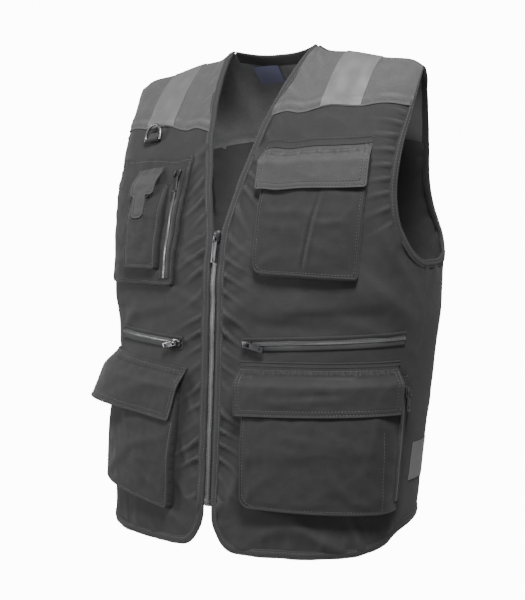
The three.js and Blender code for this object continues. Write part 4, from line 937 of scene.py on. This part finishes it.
# Stitches
# Rows of grey thread run along the seams. A node tree sets one stitch after another along
# the edges of a line, laid flat on the cloth, and the same tree sets the teeth of the zips.
repeat = bpy.data.node_groups.new("along_lines", "GeometryNodeTree")
sockets = {}
for label, kind, value in (
        ("Lines", "NodeSocketGeometry", None), ("Pitch", "NodeSocketFloat", 0.004),
        ("Size", "NodeSocketVector", (0.003, 0.0006, 0.0005)), ("Round", "NodeSocketBool", True),
        ("Seed", "NodeSocketInt", 3), ("Finish", "NodeSocketMaterial", None)):
    made = repeat.interface.new_socket(label, in_out="INPUT", socket_type=kind)
    if value is not None:
        made.default_value = value
    sockets[label] = made.identifier
repeat.interface.new_socket("Pieces", in_out="OUTPUT", socket_type="NodeSocketGeometry")
given = repeat.nodes.new("NodeGroupInput")
result = repeat.nodes.new("NodeGroupOutput")


def grow(kind, settings=(), **values):
    """Adds a node to the tree, with its settings and what goes into its sockets."""
    node = repeat.nodes.new(kind)
    for key, value in dict(settings).items():
        setattr(node, key, value)
    for key, value in values.items():
        slot = node.inputs[int(key[1:])] if key[0] == "_" else node.inputs[key.replace("_", " ")]
        if isinstance(value, bpy.types.NodeSocket):
            repeat.links.new(value, slot)
        else:
            slot.default_value = value
    return node


to_curve = grow("GeometryNodeMeshToCurve", Mesh=given.outputs["Lines"])
evenly = grow("GeometryNodeResampleCurve", {"mode": "LENGTH"}, Curve=to_curve.outputs[0],
              Length=given.outputs["Pitch"])
up = grow("GeometryNodeInputNamedAttribute", {"data_type": "FLOAT_VECTOR"}, Name="up")
tangent = grow("GeometryNodeInputTangent")
first = grow("FunctionNodeAlignRotationToVector", {"axis": "X"}, Vector=tangent.outputs[0])
second = grow("FunctionNodeAlignRotationToVector", {"axis": "Z", "pivot_axis": "X"},
              Rotation=first.outputs[0], Vector=up.outputs[0])
ball = grow("GeometryNodeMeshIcoSphere", Radius=0.5, Subdivisions=1)
block = grow("GeometryNodeMeshCube")
shape = grow("GeometryNodeSwitch", {"input_type": "GEOMETRY"}, Switch=given.outputs["Round"],
             **{"False": block.outputs[0], "True": ball.outputs[0]})
vary = grow("FunctionNodeRandomValue", {"data_type": "FLOAT"}, _2=0.88, _3=1.08, Seed=given.outputs["Seed"])
scale = grow("ShaderNodeVectorMath", {"operation": "SCALE"}, _0=given.outputs["Size"], Scale=vary.outputs[1])
put = grow("GeometryNodeInstanceOnPoints", Points=evenly.outputs[0], Instance=shape.outputs[0],
           Rotation=second.outputs[0], Scale=scale.outputs[0])
real = grow("GeometryNodeRealizeInstances", Geometry=put.outputs[0])
paint = grow("GeometryNodeSetMaterial", Geometry=real.outputs[0], Material=given.outputs["Finish"])
repeat.links.new(paint.outputs[0], result.inputs[0])


def along_lines(name, runs, finish, pitch, size, round_shape, seed=3):
    """Sets small shapes along lines. A run is a line of girth and height, and the cloth's lift there."""
    vertices, ups, edges = [], [], []
    for line, lift in runs:
        line = spaced(line, 2.5)
        height = lift(line)
        at = place(line[:, 0], line[:, 1], height)
        start = len(ups)
        vertices += at.tolist()
        ups += ((place(line[:, 0], line[:, 1], height + 1) - at) * 1000).tolist()
        edges += [(start + i, start + i + 1) for i in range(len(line) - 1)]
    mesh = bpy.data.meshes.new(name)
    mesh.from_pydata(vertices, edges, [])
    layer = mesh.attributes.new("up", "FLOAT_VECTOR", "POINT")
    layer.data.foreach_set("vector", np.array(ups, np.float32).ravel())
    piece = bpy.data.objects.new(name, mesh)
    bpy.context.scene.collection.objects.link(piece)
    modifier = piece.modifiers.new("repeat", "NODES")
    modifier.node_group = repeat
    for label, value in (("Pitch", pitch), ("Size", size), ("Round", round_shape), ("Seed", seed),
                         ("Finish", finish.material)):
        modifier[sockets[label]] = value
    bpy.context.view_layer.update()
    final = bpy.data.meshes.new_from_object(piece.evaluated_get(bpy.context.evaluated_depsgraph_get()))
    piece.modifiers.remove(modifier)
    piece.data = final
    if not round_shape:
        final.shade_flat()
    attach(piece, "vest")


def plain(name, tone, roughness, metallic=0.0, grain=0.0002, scale=500.0):
    """A plain finish with a fine grain."""
    finish = Finish(name)
    where = finish.node("ShaderNodeTexCoord", output=3)
    speck = finish.node("ShaderNodeTexNoise", Vector=where, Scale=scale, Detail=3.0)
    cloud = finish.node("ShaderNodeTexNoise", Vector=where, Scale=scale / 12, Detail=4.0)
    share = (speck * 0.5 + cloud * 0.5).clamp()
    low, high = [tuple(part * swing for part in tone) + (1,) for swing in (0.85, 1.15)]
    shade = finish.mix(share, low, high)
    bump = finish.node("ShaderNodeBump", Strength=0.3, Distance=grain, Height=speck)
    dull = (roughness + (cloud - 0.5) * 0.2).clamp()
    finish.set(Base_Color=shade, Roughness=dull, Metallic=metallic, Normal=bump)
    return finish


THREAD = plain("thread", (0.018, 0.018, 0.0185), 0.6)
STITCH = (0.0030, 0.0007, 0.0005)
STITCH_PITCH = 0.0041
STITCH_RISE = 0.12


def stitched(name, runs, seed=3):
    """Rows of thread, just proud of the cloth."""
    rows = [(line, raised(lift, STITCH_RISE)) for line, lift in runs]
    along_lines(name, rows, THREAD, STITCH_PITCH, STITCH, True, seed)


for side, label in ((1, "left"), (-1, "right")):
    runs = []
    for line, flip, lift in ((binding_lines[side][4:-2], side, edge_sway(side)),
                             (mirrored(spaced(FRONT_ARM, 3)[2:-2], side), -side, arm_sway(side))):
        runs += [(beside(line, flip * FOLD_STITCH), raised(lift, FOLD_STITCH_RISE)),
                 (beside(line, flip * INNER_STITCH), raised(lift, INNER_STITCH_RISE))]
    seam = mirrored(seams[side]["line"], side)
    runs.append((seam[2:-2] + (0, 3.2), on_yoke(side)))
    stitched(f"{label}_edge_stitches", runs)

# Pockets and flaps
# Each pocket is a front wall with a folded and topstitched edge that stands on a gusset. Each
# flap is two layers of twill, turned and topstitched, sewn down along its top.
POCKET_THICKNESS = 1.5
FLAP_THICKNESS = 1.8
# extra lines of points beside the edge of a pocket and of a flap, for wall, fold and topstitching
POCKET_RINGS = (0.7, 1.4, 2.1, 2.8, 3.6, 4.6, 5.8, 7.2)
FLAP_RINGS = (0.8, 1.8, 2.8, 3.8, 5.0, 6.4, 7.8, 9.2)
# how far in from the edge the topstitching runs
POCKET_STITCH = 6.2
FLAP_STITCHES = (3.0, 8.0)


class Field:
    """A four-sided part of one front: the place and shape of a pocket or a flap.

    inner is the girth of its upper inner corner and drop the drop of that corner. The top rises
    outwards by rise and the foot by base_rise. The foot starts further out by lean, is wider by
    spread, and has its inner and outer corner rounded.
    """

    def __init__(self, side, inner, width, drop, height,
                 rise=0, base_rise=0, lean=0, spread=0, rounds=(3, 3)):
        self.side, self.inner, self.width, self.drop, self.height = side, inner, width, drop, height
        self.rise, self.base_rise, self.lean, self.spread = rise, base_rise, lean, spread
        self.rounds = rounds

    def spot(self, u, v):
        """Girth and height at a share u outwards and a share v up from the foot."""
        u, v = np.asarray(u, float), np.asarray(v, float)
        girth = self.inner + self.lean * (1 - v) + (self.width + self.spread * (1 - v)) * u
        low = -self.drop - self.height + self.base_rise * u
        return np.stack([self.side * girth, low + (self.height + (self.rise - self.base_rise) * u) * v], -1)

    def locate(self, points):
        """The shares u and v of points, closed in on by a few rounds."""
        u, v = np.full(len(points), 0.5), np.full(len(points), 0.5)
        for _ in range(5):
            width = self.width + self.spread * (1 - v)
            u = (np.abs(points[:, 0]) - self.inner - self.lean * (1 - v)) / width
            v = ((points[:, 1] + self.drop + self.height - self.base_rise * u)
                 / (self.height + (self.rise - self.base_rise) * u))
        return u, v

    def walls(self, inset=0.0):
        """The inner side, the foot with its rounded corners, and the outer side."""
        width, height = self.width, self.height
        parts = [[(inset / width, 1)]]
        for radius, outer in zip(self.rounds, (0, 1)):
            turn = np.linspace(0, math.pi / 2, 7)
            over = (inset + radius * (1 - np.sin(turn) if outer else 1 - np.cos(turn))) / width
            up = (inset + radius * (1 - np.cos(turn) if outer else 1 - np.sin(turn))) / height
            parts.append(np.stack([1 - over if outer else over, up], -1).tolist())
        parts.append([(1 - inset / width, 1)])
        shares = np.array([pair for part in parts for pair in part])
        return self.spot(shares[:, 0], shares[:, 1])


def edged(far, wall):
    """The folded edge of a pocket or flap: a ridge, and the dip of its topstitching inside it."""
    inside = far - wall
    return 0.75 * np.exp(-((inside - 1.2) / 1.2) ** 2) - 0.45 * np.exp(-((inside - 3.6) / 0.8) ** 2)


def bag(field, depth, mouth, full, seed, under=None, wall=2.6, crown=0.2, folds=(), slope=None):
    """The lift of a pocket's outer face over its field: shallow at its mouth, full at a share up."""
    under = under or raised(level, 1.1)
    walls = field.walls()

    def lift(points):
        points = np.asarray(points, float)
        u, v = field.locate(points)
        deep = depth * (mouth + (1 - mouth) * smooth(1, full, v)) * (1 - crown * (2 * u - 1) ** 2)
        if slope:
            deep = deep + (3 - deep) * np.clip((u - slope) / (1 - slope), 0, 1)
        far, _ = nearest(points, walls)
        calm = smooth(wall + 3, wall + 16, far)
        soft = (0.9 * rough(points, 36, seed) + 0.35 * rough(points, 14, seed + 3)
                + 0.6 * crumple(points, 44, seed))
        return (under(points) + deep * smooth(0, wall, far) + edged(far, wall) * smooth(0, wall, far)
                + calm * (soft + humps(points[:, 0], points[:, 1], folds)))
    return lift


def add_pocket(name, node, field, lift, step=3.0):
    """A pocket of twill over its field."""
    piece = cloth(name, field.walls(), step, POCKET_THICKNESS, lift, POCKET_RINGS)
    fit(piece, SHADED_POCKET_TWILL, "pocket", node)
    declare(piece, field.walls())


def hang(field, base, over, where, seed, curl, stand=0.0, folds=()):
    """The lift of a flap's outer face: sewn down at its top, out over the pocket below."""
    walls = field.walls()

    def lift(points):
        points = np.asarray(points, float)
        u, v = field.locate(points)
        out = base + over * smooth(1, where, v) - 0.35 * np.exp(-(((1 - v) * field.height - 4) / 1.2) ** 2)
        out = out + stand * smooth(0.2, 1, u) * (1 - v) + front_relief(points) * smooth(0.45, 0.9, v)
        far, _ = nearest(points, walls)
        calm = smooth(4, 16, far) * smooth(1, 0.85, v)
        soft = (0.7 * rough(points, 40, seed) + 0.3 * rough(points, 15, seed + 3)
                + 0.4 * crumple(points, 40, seed))
        return (out + edged(far, -0.6) + curl * np.exp(-v * field.height / 9)
                - 0.4 * np.exp(-((far - 8) / 0.8) ** 2)
                + calm * (soft + humps(points[:, 0], points[:, 1], folds)))
    return lift


def add_flap(name, node, field, lift, finish):
    """A flap over its field."""
    piece = cloth(name, field.walls(), 2.8, FLAP_THICKNESS, lift, FLAP_RINGS)
    fit(piece, finish, "pocket", node)
    declare(piece, field.walls())


def across(field, share_up):
    """A straight row from side to side of a field."""
    return field.spot(np.linspace(0.02, 0.98, 20), share_up)


def topstitched(name, seed, pocket, pocket_lift, flap, flap_lift, flap_row, others=()):
    """The stitches round a pocket and its flap, and the row that sews the flap down."""
    runs = [(pocket.walls(POCKET_STITCH), pocket_lift)]
    runs += [(flap.walls(inset), flap_lift) for inset in FLAP_STITCHES]
    stitched(name, runs + [(across(flap, flap_row), flap_lift), *others], seed)


# The chest flaps get a copy of the same twill almost twice as pale as the fronts: painted light high on the
# vest.
LIT_FLAP_TWILL = twill("flap_twill", 0.0180)
# The cargo flaps get a slightly darker copy of the same twill: painted shade low on the vest.
SHADED_CARGO_COVER_TWILL = twill("shaded_cargo_cover_twill", 0.0092)
# across a stitched tuck, and outwards
FLAT_TUCK = [(-5.5, -1), (-5.5, 0.6), (-4.6, 1.7), (-3.2, 1.7), (-2.3, 1.0), (-0.6, 1.2), (2.4, 1.1),
             (3.2, 1.7), (4.6, 1.7), (5.5, 0.6), (5.5, -1)]

# Wearer's left chest
# A stitched tuck in the front, and below it a pocket with a centre pleat under a wide flap. All
# are twill: the pocket is sewn on round three sides, the flap along its top.
TUCK_STITCH = np.array((0, 3.4))
tuck = np.array([(57, -129), (189, -107.5)])
piece = swept("chest_tuck", [sweep(spaced(tuck, 3), FLAT_TUCK, raised(front_relief, 0.6))])
fit(piece, FRONT_TWILL, "twill", "chest_band")
chest = Field(1, 61, 134, 152, 132, rise=20, base_rise=-2, lean=5, rounds=(10, 4))
# girth, drop, run, spread, height, turn: the first two are the pleat
CHEST_FOLDS = [(136, 245, 50, 3.0, -1.8, 84), (139, 245, 50, 2.6, 1.6, 84), (100, 206, 50, 6, 1.4, 4),
               (100, 224, 44, 6, 1.2, -3), (160, 215, 34, 6, 1.2, 8), (165, 250, 40, 8, 1.4, -20),
               (90, 262, 40, 7, 1.2, 12)]
chest_lift = bag(chest, depth=13, mouth=0.4, full=0.4, folds=CHEST_FOLDS, seed=61)
add_pocket("chest_bag", "chest_pocket", chest, chest_lift)
chest_top = Field(1, 55, 136, 135, 51, rise=22, base_rise=16, lean=4)
chest_flap_lift = hang(chest_top, base=2.4, over=10.8, where=0.6, seed=64, curl=0.5)
add_flap("chest_cover", "chest_flap", chest_top, chest_flap_lift, LIT_FLAP_TWILL)
tuck_rows = [(tuck + TUCK_STITCH, raised(front_relief, 1.9)), (tuck - TUCK_STITCH, raised(front_relief, 1.9))]
topstitched("left_chest_stitches", 5, chest, chest_lift, chest_top, chest_flap_lift, 0.93, tuck_rows)

# Wearer's left cargo pocket
# A deep twill pocket whose outer gusset slopes down to a side zip, a wide flap over it, and a
# narrow strip sewn flat above the flap.
strip_line = np.array([(47, -394), (271, -390)])
narrow_tuck = [(a * 0.62, b) for a, b in FLAT_TUCK]
piece = swept("cargo_top_strip", [sweep(spaced(strip_line, 3), narrow_tuck,
                                        lambda points: 0.7 + front_relief(points) * 0.6)])
fit(piece, BINDING_TWILL, "binding", "cargo_strip")
cargo = Field(1, 56, 236, 412, 165, rise=5, lean=8, spread=6, rounds=(16, 6))
CARGO_FOLDS = [(120, 505, 70, 9, 1.6, 6), (180, 488, 60, 8, 1.4, -8), (90, 545, 40, 8, 1.8, 40),
               (215, 550, 50, 8, 2.0, -40), (150, 565, 70, 7, 1.2, 3), (235, 480, 50, 7, 1.6, 80)]
CARGO_FLAP_FOLDS = [(150, 436, 40, 5, 1.2, 3), (165, 427, 36, 4, -0.9, 3), (110, 440, 30, 6, 0.8, -10)]
cargo_lift = bag(cargo, depth=18, mouth=0.4, full=0.45, folds=CARGO_FOLDS, seed=71, slope=0.8, crown=0.1)
add_pocket("left_cargo_bag", "left_cargo_pocket", cargo, cargo_lift)
cargo_top = Field(1, 46, 222, 397.3, 63, rise=4, base_rise=8, lean=4)
cargo_flap_lift = hang(cargo_top, base=2.4, over=14.4, where=0.6, seed=74, curl=0.5, folds=CARGO_FLAP_FOLDS)
add_flap("left_cargo_cover", "left_cargo_flap", cargo_top, cargo_flap_lift, SHADED_CARGO_COVER_TWILL)
gusset_row = (cargo.spot(0.8, np.linspace(0.05, 0.6, 20)), cargo_lift)
topstitched("left_cargo_stitches", 7, cargo, cargo_lift, cargo_top, cargo_flap_lift, 0.935, [gusset_row])

# Wearer's right cargo pocket
# A twill pocket like the left one but narrower. Its flap has bent out with use, so that its
# outer end stands away from the pocket.
right_cargo = Field(-1, 54, 178, 428, 166, rise=20, base_rise=26, lean=8, rounds=(8, 10))
RIGHT_FOLDS = [(-110, 505, 60, 8, 1.6, 12), (-180, 540, 50, 8, 2.2, 30), (-90, 560, 40, 8, 1.6, -30),
               (-150, 480, 40, 8, 1.4, 4)]
RIGHT_FLAP_FOLDS = [(-120, 430, 50, 9, 1.6, 16), (-180, 440, 40, 9, -1.4, 20)]
right_lift = bag(right_cargo, depth=14, mouth=0.4, full=0.4, folds=RIGHT_FOLDS, seed=81, crown=0.1)
add_pocket("right_cargo_bag", "right_cargo_pocket", right_cargo, right_lift)
right_top = Field(-1, 42, 186, 406, 70, rise=18, base_rise=20, lean=22)
right_flap_lift = hang(right_top, base=2.4, over=11.5, where=0.6, stand=27, seed=84, curl=0.8,
                       folds=RIGHT_FLAP_FOLDS)
add_flap("right_cargo_cover", "right_cargo_flap", right_top, right_flap_lift, SHADED_CARGO_COVER_TWILL)
topstitched("right_cargo_stitches", 9, right_cargo, right_lift, right_top, right_flap_lift, 0.94)

# Wearer's right chest
# A flat map pocket with a slanted zip, a phone pocket sewn on it, and a T-shaped flap of two
# layers of twill whose tongue holds the phone pocket shut.
MAP_FOLDS = [(-64, 230, 60, 3.4, 1.6, 88), (-150, 250, 40, 7, 0.9, 20), (-160, 180, 30, 6, 0.8, -10)]
map_field = Field(-1, 59, 138, 141, 160, rise=20, base_rise=6, lean=8, rounds=(5, 8))
map_lift = bag(map_field, depth=5, mouth=0.4, full=0.7, under=raised(on_front, 0.5), seed=91, crown=0.0,
               wall=2.0, folds=MAP_FOLDS)
add_pocket("map_bag", "map_pocket", map_field, map_lift)
phone = Field(-1, 91, 64, 171, 109, rise=8, base_rise=3, rounds=(5, 5))
phone_lift = bag(phone, depth=9, mouth=0.4, full=0.6, under=map_lift, seed=94, crown=0.15, wall=2.2)
add_pocket("phone_bag", "phone_pocket", phone, phone_lift, step=2.4)
T_OUTLINE = np.array([
    (-108, -146), (-108, -181), (-111, -184), (-119, -184), (-119, -209), (-123, -213),
    (-136, -213), (-140, -209), (-140, -184), (-144, -184), (-147, -181), (-147, -146)], float)


def t_lift(points):
    """The T-shaped flap: flat on the map pocket at its top, out over the phone pocket below."""
    far, _ = nearest(points, T_OUTLINE)
    over = smooth(-146, -171, points[:, 1])
    return map_lift(points) + 2.2 + 8.2 * over + edged(far, -0.6) + 0.5 * rough(points, 16, 97)


piece = cloth("phone_cover", T_OUTLINE, 2.2, FLAP_THICKNESS, t_lift, FLAP_RINGS[:4] + (5.0,))
fit(piece, LIT_FLAP_TWILL, "pocket", "phone_flap")
declare(piece, T_OUTLINE)
stitched("right_chest_stitches", [
    (map_field.walls(5.6), map_lift), (phone.walls(5.8), phone_lift), (across(map_field, 0.975), map_lift),
    (beside(T_OUTLINE, -3.0), t_lift)], 11)

# Reflective tape
# Silver tape with a fine beaded face, sewn on flat: over each shoulder from seam to seam, and
# across the back from side to side.
tape_finish = Finish("reflective_tape")
cut = tape_finish.node("ShaderNodeUVMap", {"uv_map": "cut"})
beads = tape_finish.node("ShaderNodeTexVoronoi", Vector=cut, Scale=1400.0)
cloud = tape_finish.node("ShaderNodeTexNoise", Vector=cut, Scale=45.0, Detail=6.0)
scuff = tape_finish.node("ShaderNodeTexNoise", Vector=cut, Scale=260.0, Detail=4.0)
light = (0.5 + (beads - 0.4) * 0.4 + (cloud - 0.5) * 0.7 + (scuff - 0.5) * 0.4).clamp()
shade = tape_finish.mix(light, (0.027, 0.027, 0.0275, 1), (0.051, 0.051, 0.052, 1))
bump = tape_finish.node("ShaderNodeBump", Strength=0.25, Distance=0.0002, Height=beads)
tape_finish.set(Base_Color=shade, Roughness=(0.5 + (cloud - 0.5) * 0.3).clamp(), Normal=bump)
TAPE_INNER = 114
TAPE_WIDTH = 48
TAPE_THICKNESS = 0.6
BAND_DROP = 496
BAND_START = 22


def on_front_yoke(side):
    """The lift of a shoulder tape on its front yoke, with small creases across it."""
    def lift(points):
        crease = 0.5 * rough(points * (1.0, 0.25), 12, 101 + side) * smooth(-90, -20, points[:, 1])
        return on_yoke(side)(points) + 0.7 + crease * (1 - smooth(-14, -2, points[:, 1]))
    return lift


def on_back_yoke(points):
    """The lift of a shoulder tape on the back yoke, from either side."""
    return 2.7 + back_yoke_relief(points + np.where(points[:, :1] < 0, (2 * HALF_GIRTH, 0), (0, 0)))


for side, label in ((1, "left"), (-1, "right")):
    seam = seams[side]["line"]
    girths = np.linspace(TAPE_INNER, TAPE_INNER + TAPE_WIDTH, 12)
    front_foot = np.interp(girths, seam[:, 0], seam[:, 1]) + 1
    back_foot = np.full(12, -BACK_SEAM_DROP + 1.0)
    for name, line, foot, step, lift, rests_on in (
            (f"{label}_shoulder_stripe", girths, front_foot, 2.6, on_front_yoke(side), f"{label}_yoke"),
            (f"{label}_shoulder_stripe_back", behind(girths), back_foot, 3, on_back_yoke, "back_yoke_twill")):
        low = np.stack([line, foot], -1)
        high = np.stack([line[::-1], line * 0], -1)
        outline = mirrored(np.vstack([low, high]), side)
        piece = cloth(name, outline, step, TAPE_THICKNESS, lift)
        fit(piece, tape_finish, "reflective", f"{label}_shoulder_tape")
        declare(piece, outline)
band_low, band_high = SIDE_SEAM + BAND_START, 2 * HALF_GIRTH - SIDE_SEAM - BAND_START
band = np.array([(band_low, -BAND_DROP - TAPE_WIDTH), (band_high, -BAND_DROP - TAPE_WIDTH),
                 (band_high, -BAND_DROP), (band_low, -BAND_DROP)])
piece = cloth("back_stripe", band, 5, TAPE_THICKNESS, raised(back_relief, 1.5))
fit(piece, tape_finish, "reflective", "back_reflective_band")
declare(piece, band)

# Main zip
# A coarse moulded zip between the two bindings: a woven tape behind each, two rows of teeth
# that mesh, a box at the foot, and a slider with its pull at the top.
ZIP_CLOTH = plain("zip_tape_cloth", (0.008, 0.008, 0.0085), 0.85, grain=0.0003, scale=1200.0)
TEETH = plain("zip_teeth", (0.02, 0.02, 0.021), 0.4, scale=300.0)
METAL = plain("zip_metal", (0.035, 0.035, 0.037), 0.32, metallic=0.85, scale=400.0)
zip_heights = np.linspace(-ZIP_END_DROP + 1, -NECK_DROP + 2, 120)
wander = 0.7 * rough(np.stack([zip_heights * 0, zip_heights], -1), 34, 111)
zip_line = np.stack([wander, zip_heights], -1)
# half the width of a tape, its middle's distance from the zip's, and how deep it lies
ZIP_TAPE_HALF = 6.8
ZIP_TAPE_OFFSET = 7.4
ZIP_TAPE_DEPTH = 2.6
CORE_HALF = 1.6
TOOTH = (0.0016, 0.0044, 0.0026)
TOOTH_PITCH = 0.0028


def strip(half, low, high):
    """The section of a flat strip."""
    return [(-half, low), (-half, high), (half, high), (half, low)]


for side, label in ((1, "left"), (-1, "right")):
    line = zip_line + (ZIP_TAPE_OFFSET * side, 0)
    piece = swept(f"main_zip_{label}_cloth",
                  [sweep(line, strip(ZIP_TAPE_HALF, -0.5, 0.5), raised(level, -ZIP_TAPE_DEPTH))])
    fit(piece, ZIP_CLOTH, "zip_tape", f"main_zip_{label}_tape")
# the teeth of one side stand half a pitch above those of the other
tooth_lift = raised(level, 0.3)
teeth_rows = [(zip_line[:-2] + (-1.4, 0), tooth_lift), (zip_line[:-2] + (1.4, 1.4), tooth_lift)]
along_lines("main_zip_teeth", teeth_rows, TEETH, TOOTH_PITCH, TOOTH, False)
core = swept("main_zip_core", [sweep(zip_line, strip(CORE_HALF, -2.2, -0.6), level)])
fit(core, TEETH, "zip_metal", "main_zip_chain")


def softened(node, body, finish, slot_name, width=0.0003):
    """A hard piece of the part with its edges rounded by a small width in metres."""
    source = bpy.data.objects[node]
    mesh = source.data.copy()
    mesh.transform(source.matrix_world)
    work = bmesh.new()
    work.from_mesh(mesh)
    bmesh.ops.remove_doubles(work, verts=work.verts, dist=1e-6)
    bmesh.ops.dissolve_limit(work, angle_limit=math.radians(4), verts=work.verts, edges=work.edges)
    hard = [e for e in work.edges if len(e.link_faces) == 2 and e.calc_face_angle() > math.radians(25)]
    bmesh.ops.bevel(work, geom=hard, offset=width, segments=2, affect="EDGES", profile=0.6,
                    clamp_overlap=True)
    bmesh.ops.triangulate(work, faces=work.faces)
    work.to_mesh(mesh)
    work.free()
    mesh.shade_smooth()
    mesh.set_sharp_from_angle(angle=math.radians(50))
    piece = bpy.data.objects.new(node + "_metal", mesh)
    bpy.context.scene.collection.objects.link(piece)
    fit(piece, finish, slot_name, node, body)
    return piece


softened("main_zip_slider", "vest", METAL, "zip_metal")
softened("main_zip_pull", "main_zip_pull", METAL, "zip_metal", 0.0004)
softened("main_zip_end_box", "vest", METAL, "zip_metal", 0.0005)

# Pocket zips
# Fine zips set in slits: the cloth is turned back along both sides in a narrow stitched welt.
WELT = [(-2.6, -1), (-2.6, 0.7), (-2.0, 1.4), (-0.6, 1.7), (0.8, 1.2), (2.6, 0.5), (2.6, -1)]
POCKET_ZIPS = [
    ("left_pocket_zip", (52, -370), (272, -359), on_front),
    ("right_pocket_zip", (-52, -373), (-185, -364), on_front),
    ("map_pocket_zip", (-76, -156), (-81, -290), map_lift),
    ("side_pocket_zip", (281, -420), (293, -562), cargo_lift),
]
FINE_TOOTH = (0.0009, 0.0023, 0.0013)
FINE_TOOTH_PITCH = 0.0016
WELT_OFFSET = 6.2
WELT_STITCH = 7.4
for name, start, end, ground in POCKET_ZIPS:
    line = spaced([start, end], 2.5)
    on_cut = raised(ground, 0.3)
    piece = swept(f"{name}_cloth", [sweep(line, strip(8, -0.5, 0.5), on_cut)])
    fit(piece, ZIP_CLOTH, "zip_tape", f"{name}_tape")
    welts = [sweep(beside(line, -WELT_OFFSET * flip), [(a * flip, b) for a, b in WELT], on_cut)
             for flip in (-1, 1)]
    piece = swept(f"{name}_welts", welts)
    FRONT_TWILL.put_on(piece, "twill")
    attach(piece, "vest")
    core = swept(f"{name}_core", [sweep(line, strip(1.1, 0.4, 1.4), on_cut)])
    fit(core, TEETH, "zip_metal", f"{name}_chain")
    rows = [(beside(line, off), raised(ground, 1.6)) for off in (1.0, -1.0)]
    along_lines(f"{name}_teeth", rows, TEETH, FINE_TOOTH_PITCH, FINE_TOOTH, True, 13)
    stitched(f"{name}_stitches", [(beside(line, off), raised(ground, 1.0))
                                  for off in (WELT_STITCH, -WELT_STITCH)], 15)
    softened(f"{name}_slider", "vest", METAL, "zip_metal")
    softened(f"{name}_pull", f"{name}_pull", METAL, "zip_metal", 0.0004)

# D-ring and label
# A cast gunmetal ring turns on its straight bar in a folded tab of twill, which is sewn on just
# below the yoke seam. Its bow lies up over that seam. In the neck is a woven label, left bare.
RING = plain("ring_metal", (0.08, 0.08, 0.082), 0.36, metallic=0.95, scale=300.0)
softened("d_ring", "d_ring", RING, "ring_metal", 0.0006)
tab = softened("d_ring_tab", "vest", BINDING_TWILL, "twill", 0.0005)
# the twill finish reads this layer on every piece
tab.data.uv_layers.new(name="cut")
LABEL = plain("label_weave", (0.03, 0.032, 0.06), 0.7, grain=0.0003, scale=900.0)
softened("neck_label", "vest", LABEL, "label", 0.0002)

bpy.context.view_layer.update()
